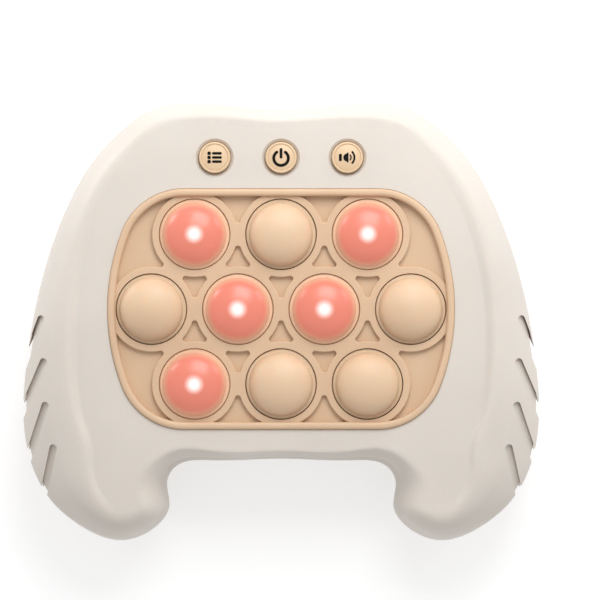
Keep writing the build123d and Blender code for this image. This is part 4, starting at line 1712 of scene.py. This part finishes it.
@dataclass
class Speaker:
    """Small round speaker behind the grille, facing the back."""

    rim: float = 1.2
    rim_chamfer: float = 0.2
    flange: float = 0.8
    shoulder: float = 1.0
    slope: float = 0.2
    neck: float = 1.2
    basket_floor: float = 3.0
    surround: float = 1.9
    surround_rise: float = 0.6
    set_in: float = 0.15
    cone_depth: float = 2.0
    cone_floor: float = 2.9
    cone_gap: float = 0.1
    cone_rings: int = 6
    ripple: float = 0.08
    cap_radius: float = 3.6
    cap_rise: float = 1.1
    cap_angles: tuple[float, ...] = (0.2, 0.6, 1.0, 1.3)
    magnet_radius: float = 7.5
    magnet_height: float = 1.7
    magnet_round: float = 0.3
    segments: int = 72

    def basket(self, size: RoundNode) -> Profile:
        """Half section of the basket and magnet.

        Args:
            size: Radius of the rim, height of its face and of the magnet's face.

        Returns:
            The closed half section.
        """
        outer, front, back = size.radius, size.low, size.high
        edge, chamfer = outer - self.rim, self.rim_chamfer
        magnet, turn = self.magnet_radius, self.magnet_round
        return [
            (edge, front),
            (outer - chamfer, front),
            (outer, front + chamfer),
            (outer, front + self.flange),
            (outer - self.shoulder, front + self.flange + self.slope),
            (magnet + self.neck, back - self.magnet_height - self.slope),
            (magnet, back - self.magnet_height),
            *arc((magnet - turn, back - turn), turn, 0, 90, 4),
            (0.0, back),
            (0.0, front + self.basket_floor),
            (edge, front),
        ]

    def cone(self, size: RoundNode) -> Profile:
        """Half section of the surround, the rippled cone and its cap.

        Args:
            size: Radius of the rim and height of its face.

        Returns:
            The closed half section.
        """
        edge, front = size.radius - self.rim, size.low
        start = front + self.set_in
        inner = edge - self.surround
        roll = arc(((edge + inner) / 2, start), self.surround / 2, 0, 180, 8)
        points = [(edge, start)]
        points += [(radius, start + (z - start) * self.surround_rise) for radius, z in roll[1:-1]]
        points.append((inner, start))
        for ring in range(1, self.cone_rings + 1):
            share = ring / self.cone_rings
            dip = self.ripple if ring % 2 else 0.0
            radius = inner + (self.cap_radius - inner) * share
            points.append((radius, start + self.cone_depth * share - dip))
        top = start + self.cone_depth
        for turn in self.cap_angles:
            points.append((self.cap_radius * math.cos(turn), top - self.cap_rise * math.sin(turn)))
        floor = front + self.cone_floor
        points += [(0.0, top - self.cap_rise), (0.0, floor), (edge - self.cone_gap, floor), (edge, start)]
        return points

    def build(self) -> None:
        """Builds the basket, magnet, surround and cone in place of the CAD node."""
        size = RoundNode.read("speaker")
        basket = lathe(self.basket(size), size.middle, self.segments)
        metal = new_piece("speaker_basket", basket, NICKEL)
        cone = lathe(self.cone(size), size.middle, self.segments)
        paper = new_piece("speaker_cone", cone, CONE_PAPER)
        for piece in (metal, paper):
            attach(piece, "casing")
            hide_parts("speaker")
        LOG.info("built the speaker")


@dataclass
class Studio:
    """White paper floor, soft lights and the camera above the face."""

    shot_width: float = 182.2
    middle_x: float = 5.65
    middle_y: float = 6.83
    lens: float = 200.0
    sensor: float = 36.0
    plane_z: float = 18.0
    sky: float = 0.68
    seen_sky: float = 1.0
    floor_reach: float = 3.0
    aim: Place = (0.0, 0.0, 0.02)

    def area(self, name: str, place: Place, size: float, power: float) -> None:
        """Adds a square light that faces the game.

        Args:
            name: The light's name.
            place: Its place in metres.
            size: Its side in metres.
            power: Its power in watts.
        """
        data = bpy.data.lights.new(name, "AREA")
        data.size = size
        data.energy = power
        lamp = bpy.data.objects.new(name, data)
        lamp.location = place
        aim = Vector(self.aim) - Vector(place)
        lamp.rotation_euler = aim.to_track_quat("-Z", "Y").to_euler()
        bpy.context.scene.collection.objects.link(lamp)

    def build(self) -> None:
        """Builds the floor, lights and camera."""
        scene = bpy.context.scene
        mesh = bmesh.new()
        bmesh.ops.create_grid(mesh, x_segments=4, y_segments=4, size=self.floor_reach)
        floor = new_piece("floor", mesh, FLOOR)
        world = bpy.data.worlds.new("studio")
        world.use_nodes = True
        graph = Graph(world.node_tree)
        sky = world.node_tree.nodes["Background"]
        sky.inputs["Color"].default_value = WHITE
        seen = graph.add("ShaderNodeLightPath").outputs["Is Camera Ray"]
        more = graph.math("MULTIPLY", seen, self.seen_sky - self.sky)
        graph.feed(sky.inputs["Strength"], graph.math("ADD", more, self.sky))
        scene.world = world
        self.area("top light", (0.06, 0.27, 0.33), 0.26, 1.25)
        self.area("left light", (-0.4, 0.3, 0.08), 0.16, 0.62)
        self.area("right light", (0.42, 0.3, 0.16), 0.2, 0.46)
        camera = bpy.data.cameras.new("camera")
        camera.lens = self.lens
        camera.sensor_width = self.sensor
        camera.clip_end = 10.0
        distance = self.shot_width * MM * self.lens / self.sensor
        eye = bpy.data.objects.new("camera", camera)
        eye.location = (self.middle_x * MM, self.middle_y * MM, self.plane_z * MM + distance)
        eye.matrix_world = Matrix.Translation(eye.location)
        scene.collection.objects.link(eye)
        scene.camera = eye
        scene.view_settings.view_transform = "Standard"


def dressing() -> Dressing:
    """Finishes of every CAD node that keeps its mesh.

    Returns:
        The dressing.
    """
    nodes: dict[str, Finish] = {
        "front_shell": SHELL,
        "rear_shell": SHELL,
        "battery_cover": SHELL,
        "bubble_frame": PEACH,
        "main_board": BOARD,
        "board_traces": GOLD,
        "leds": LAMP_BODY,
        "sound_chip": RESIN,
        "capacitors": SLEEVE,
        "battery_springs": NICKEL,
        "battery_plates": NICKEL,
        "battery_lead_positive": RED_WIRE,
        "battery_lead_negative": BLACK_WIRE,
        "speaker_leads": GREY_WIRE,
    }
    return Dressing(nodes)


def both_sides(places: list[tuple[float, float]], height: float) -> list[Place]:
    """Places mirrored to the left, at one height.

    Args:
        places: Right-hand places in plan.
        height: Their height.

    Returns:
        The places on both sides.
    """
    return [(side * x, y, height) for x, y in places for side in (1, -1)]


def all_screws() -> list[Screws]:
    """The screws of the casing, the board and the battery cover.

    Returns:
        The three sets.
    """
    case = Screws(
        "case_screws",
        "casing",
        both_sides([(43.0, 47.0), (57.0, -8.5), (52.0, -52.0)], 9.0),
        head=2.5,
        head_height=1.8,
        shank=1.1,
        length=18.0,
    )
    board = Screws(
        "board_screws",
        "casing",
        both_sides([(51.9, 33.0), (51.9, -24.0), (58.4, 4.1), (30.6, 52.6)], 25.2),
        head=1.9,
        head_height=1.3,
        shank=0.8,
        length=7.0,
        pitch=0.7,
    )
    cover = Screws(
        "battery_cover_screw",
        "battery_cover",
        [(0.0, 20.6, 1.4)],
        head=2.3,
        head_height=1.2,
        shank=0.95,
        length=4.2,
    )
    return [case, board, cover]


def main() -> None:
    """Builds the sub-assemblies in order."""
    logging.basicConfig(level=logging.INFO, format="%(name)s: %(message)s")
    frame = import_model()
    dressing().build(frame)
    BubbleField().build()
    RimSeal().build()
    ContactRings().build()
    TopKeys().build()
    SiliconeMat().build(frame)
    Cells().build()
    Speaker().build()
    for screws in all_screws():
        screws.build()
    CoverGrip().build()
    Studio().build()


if __name__ == "__main__":
    main()
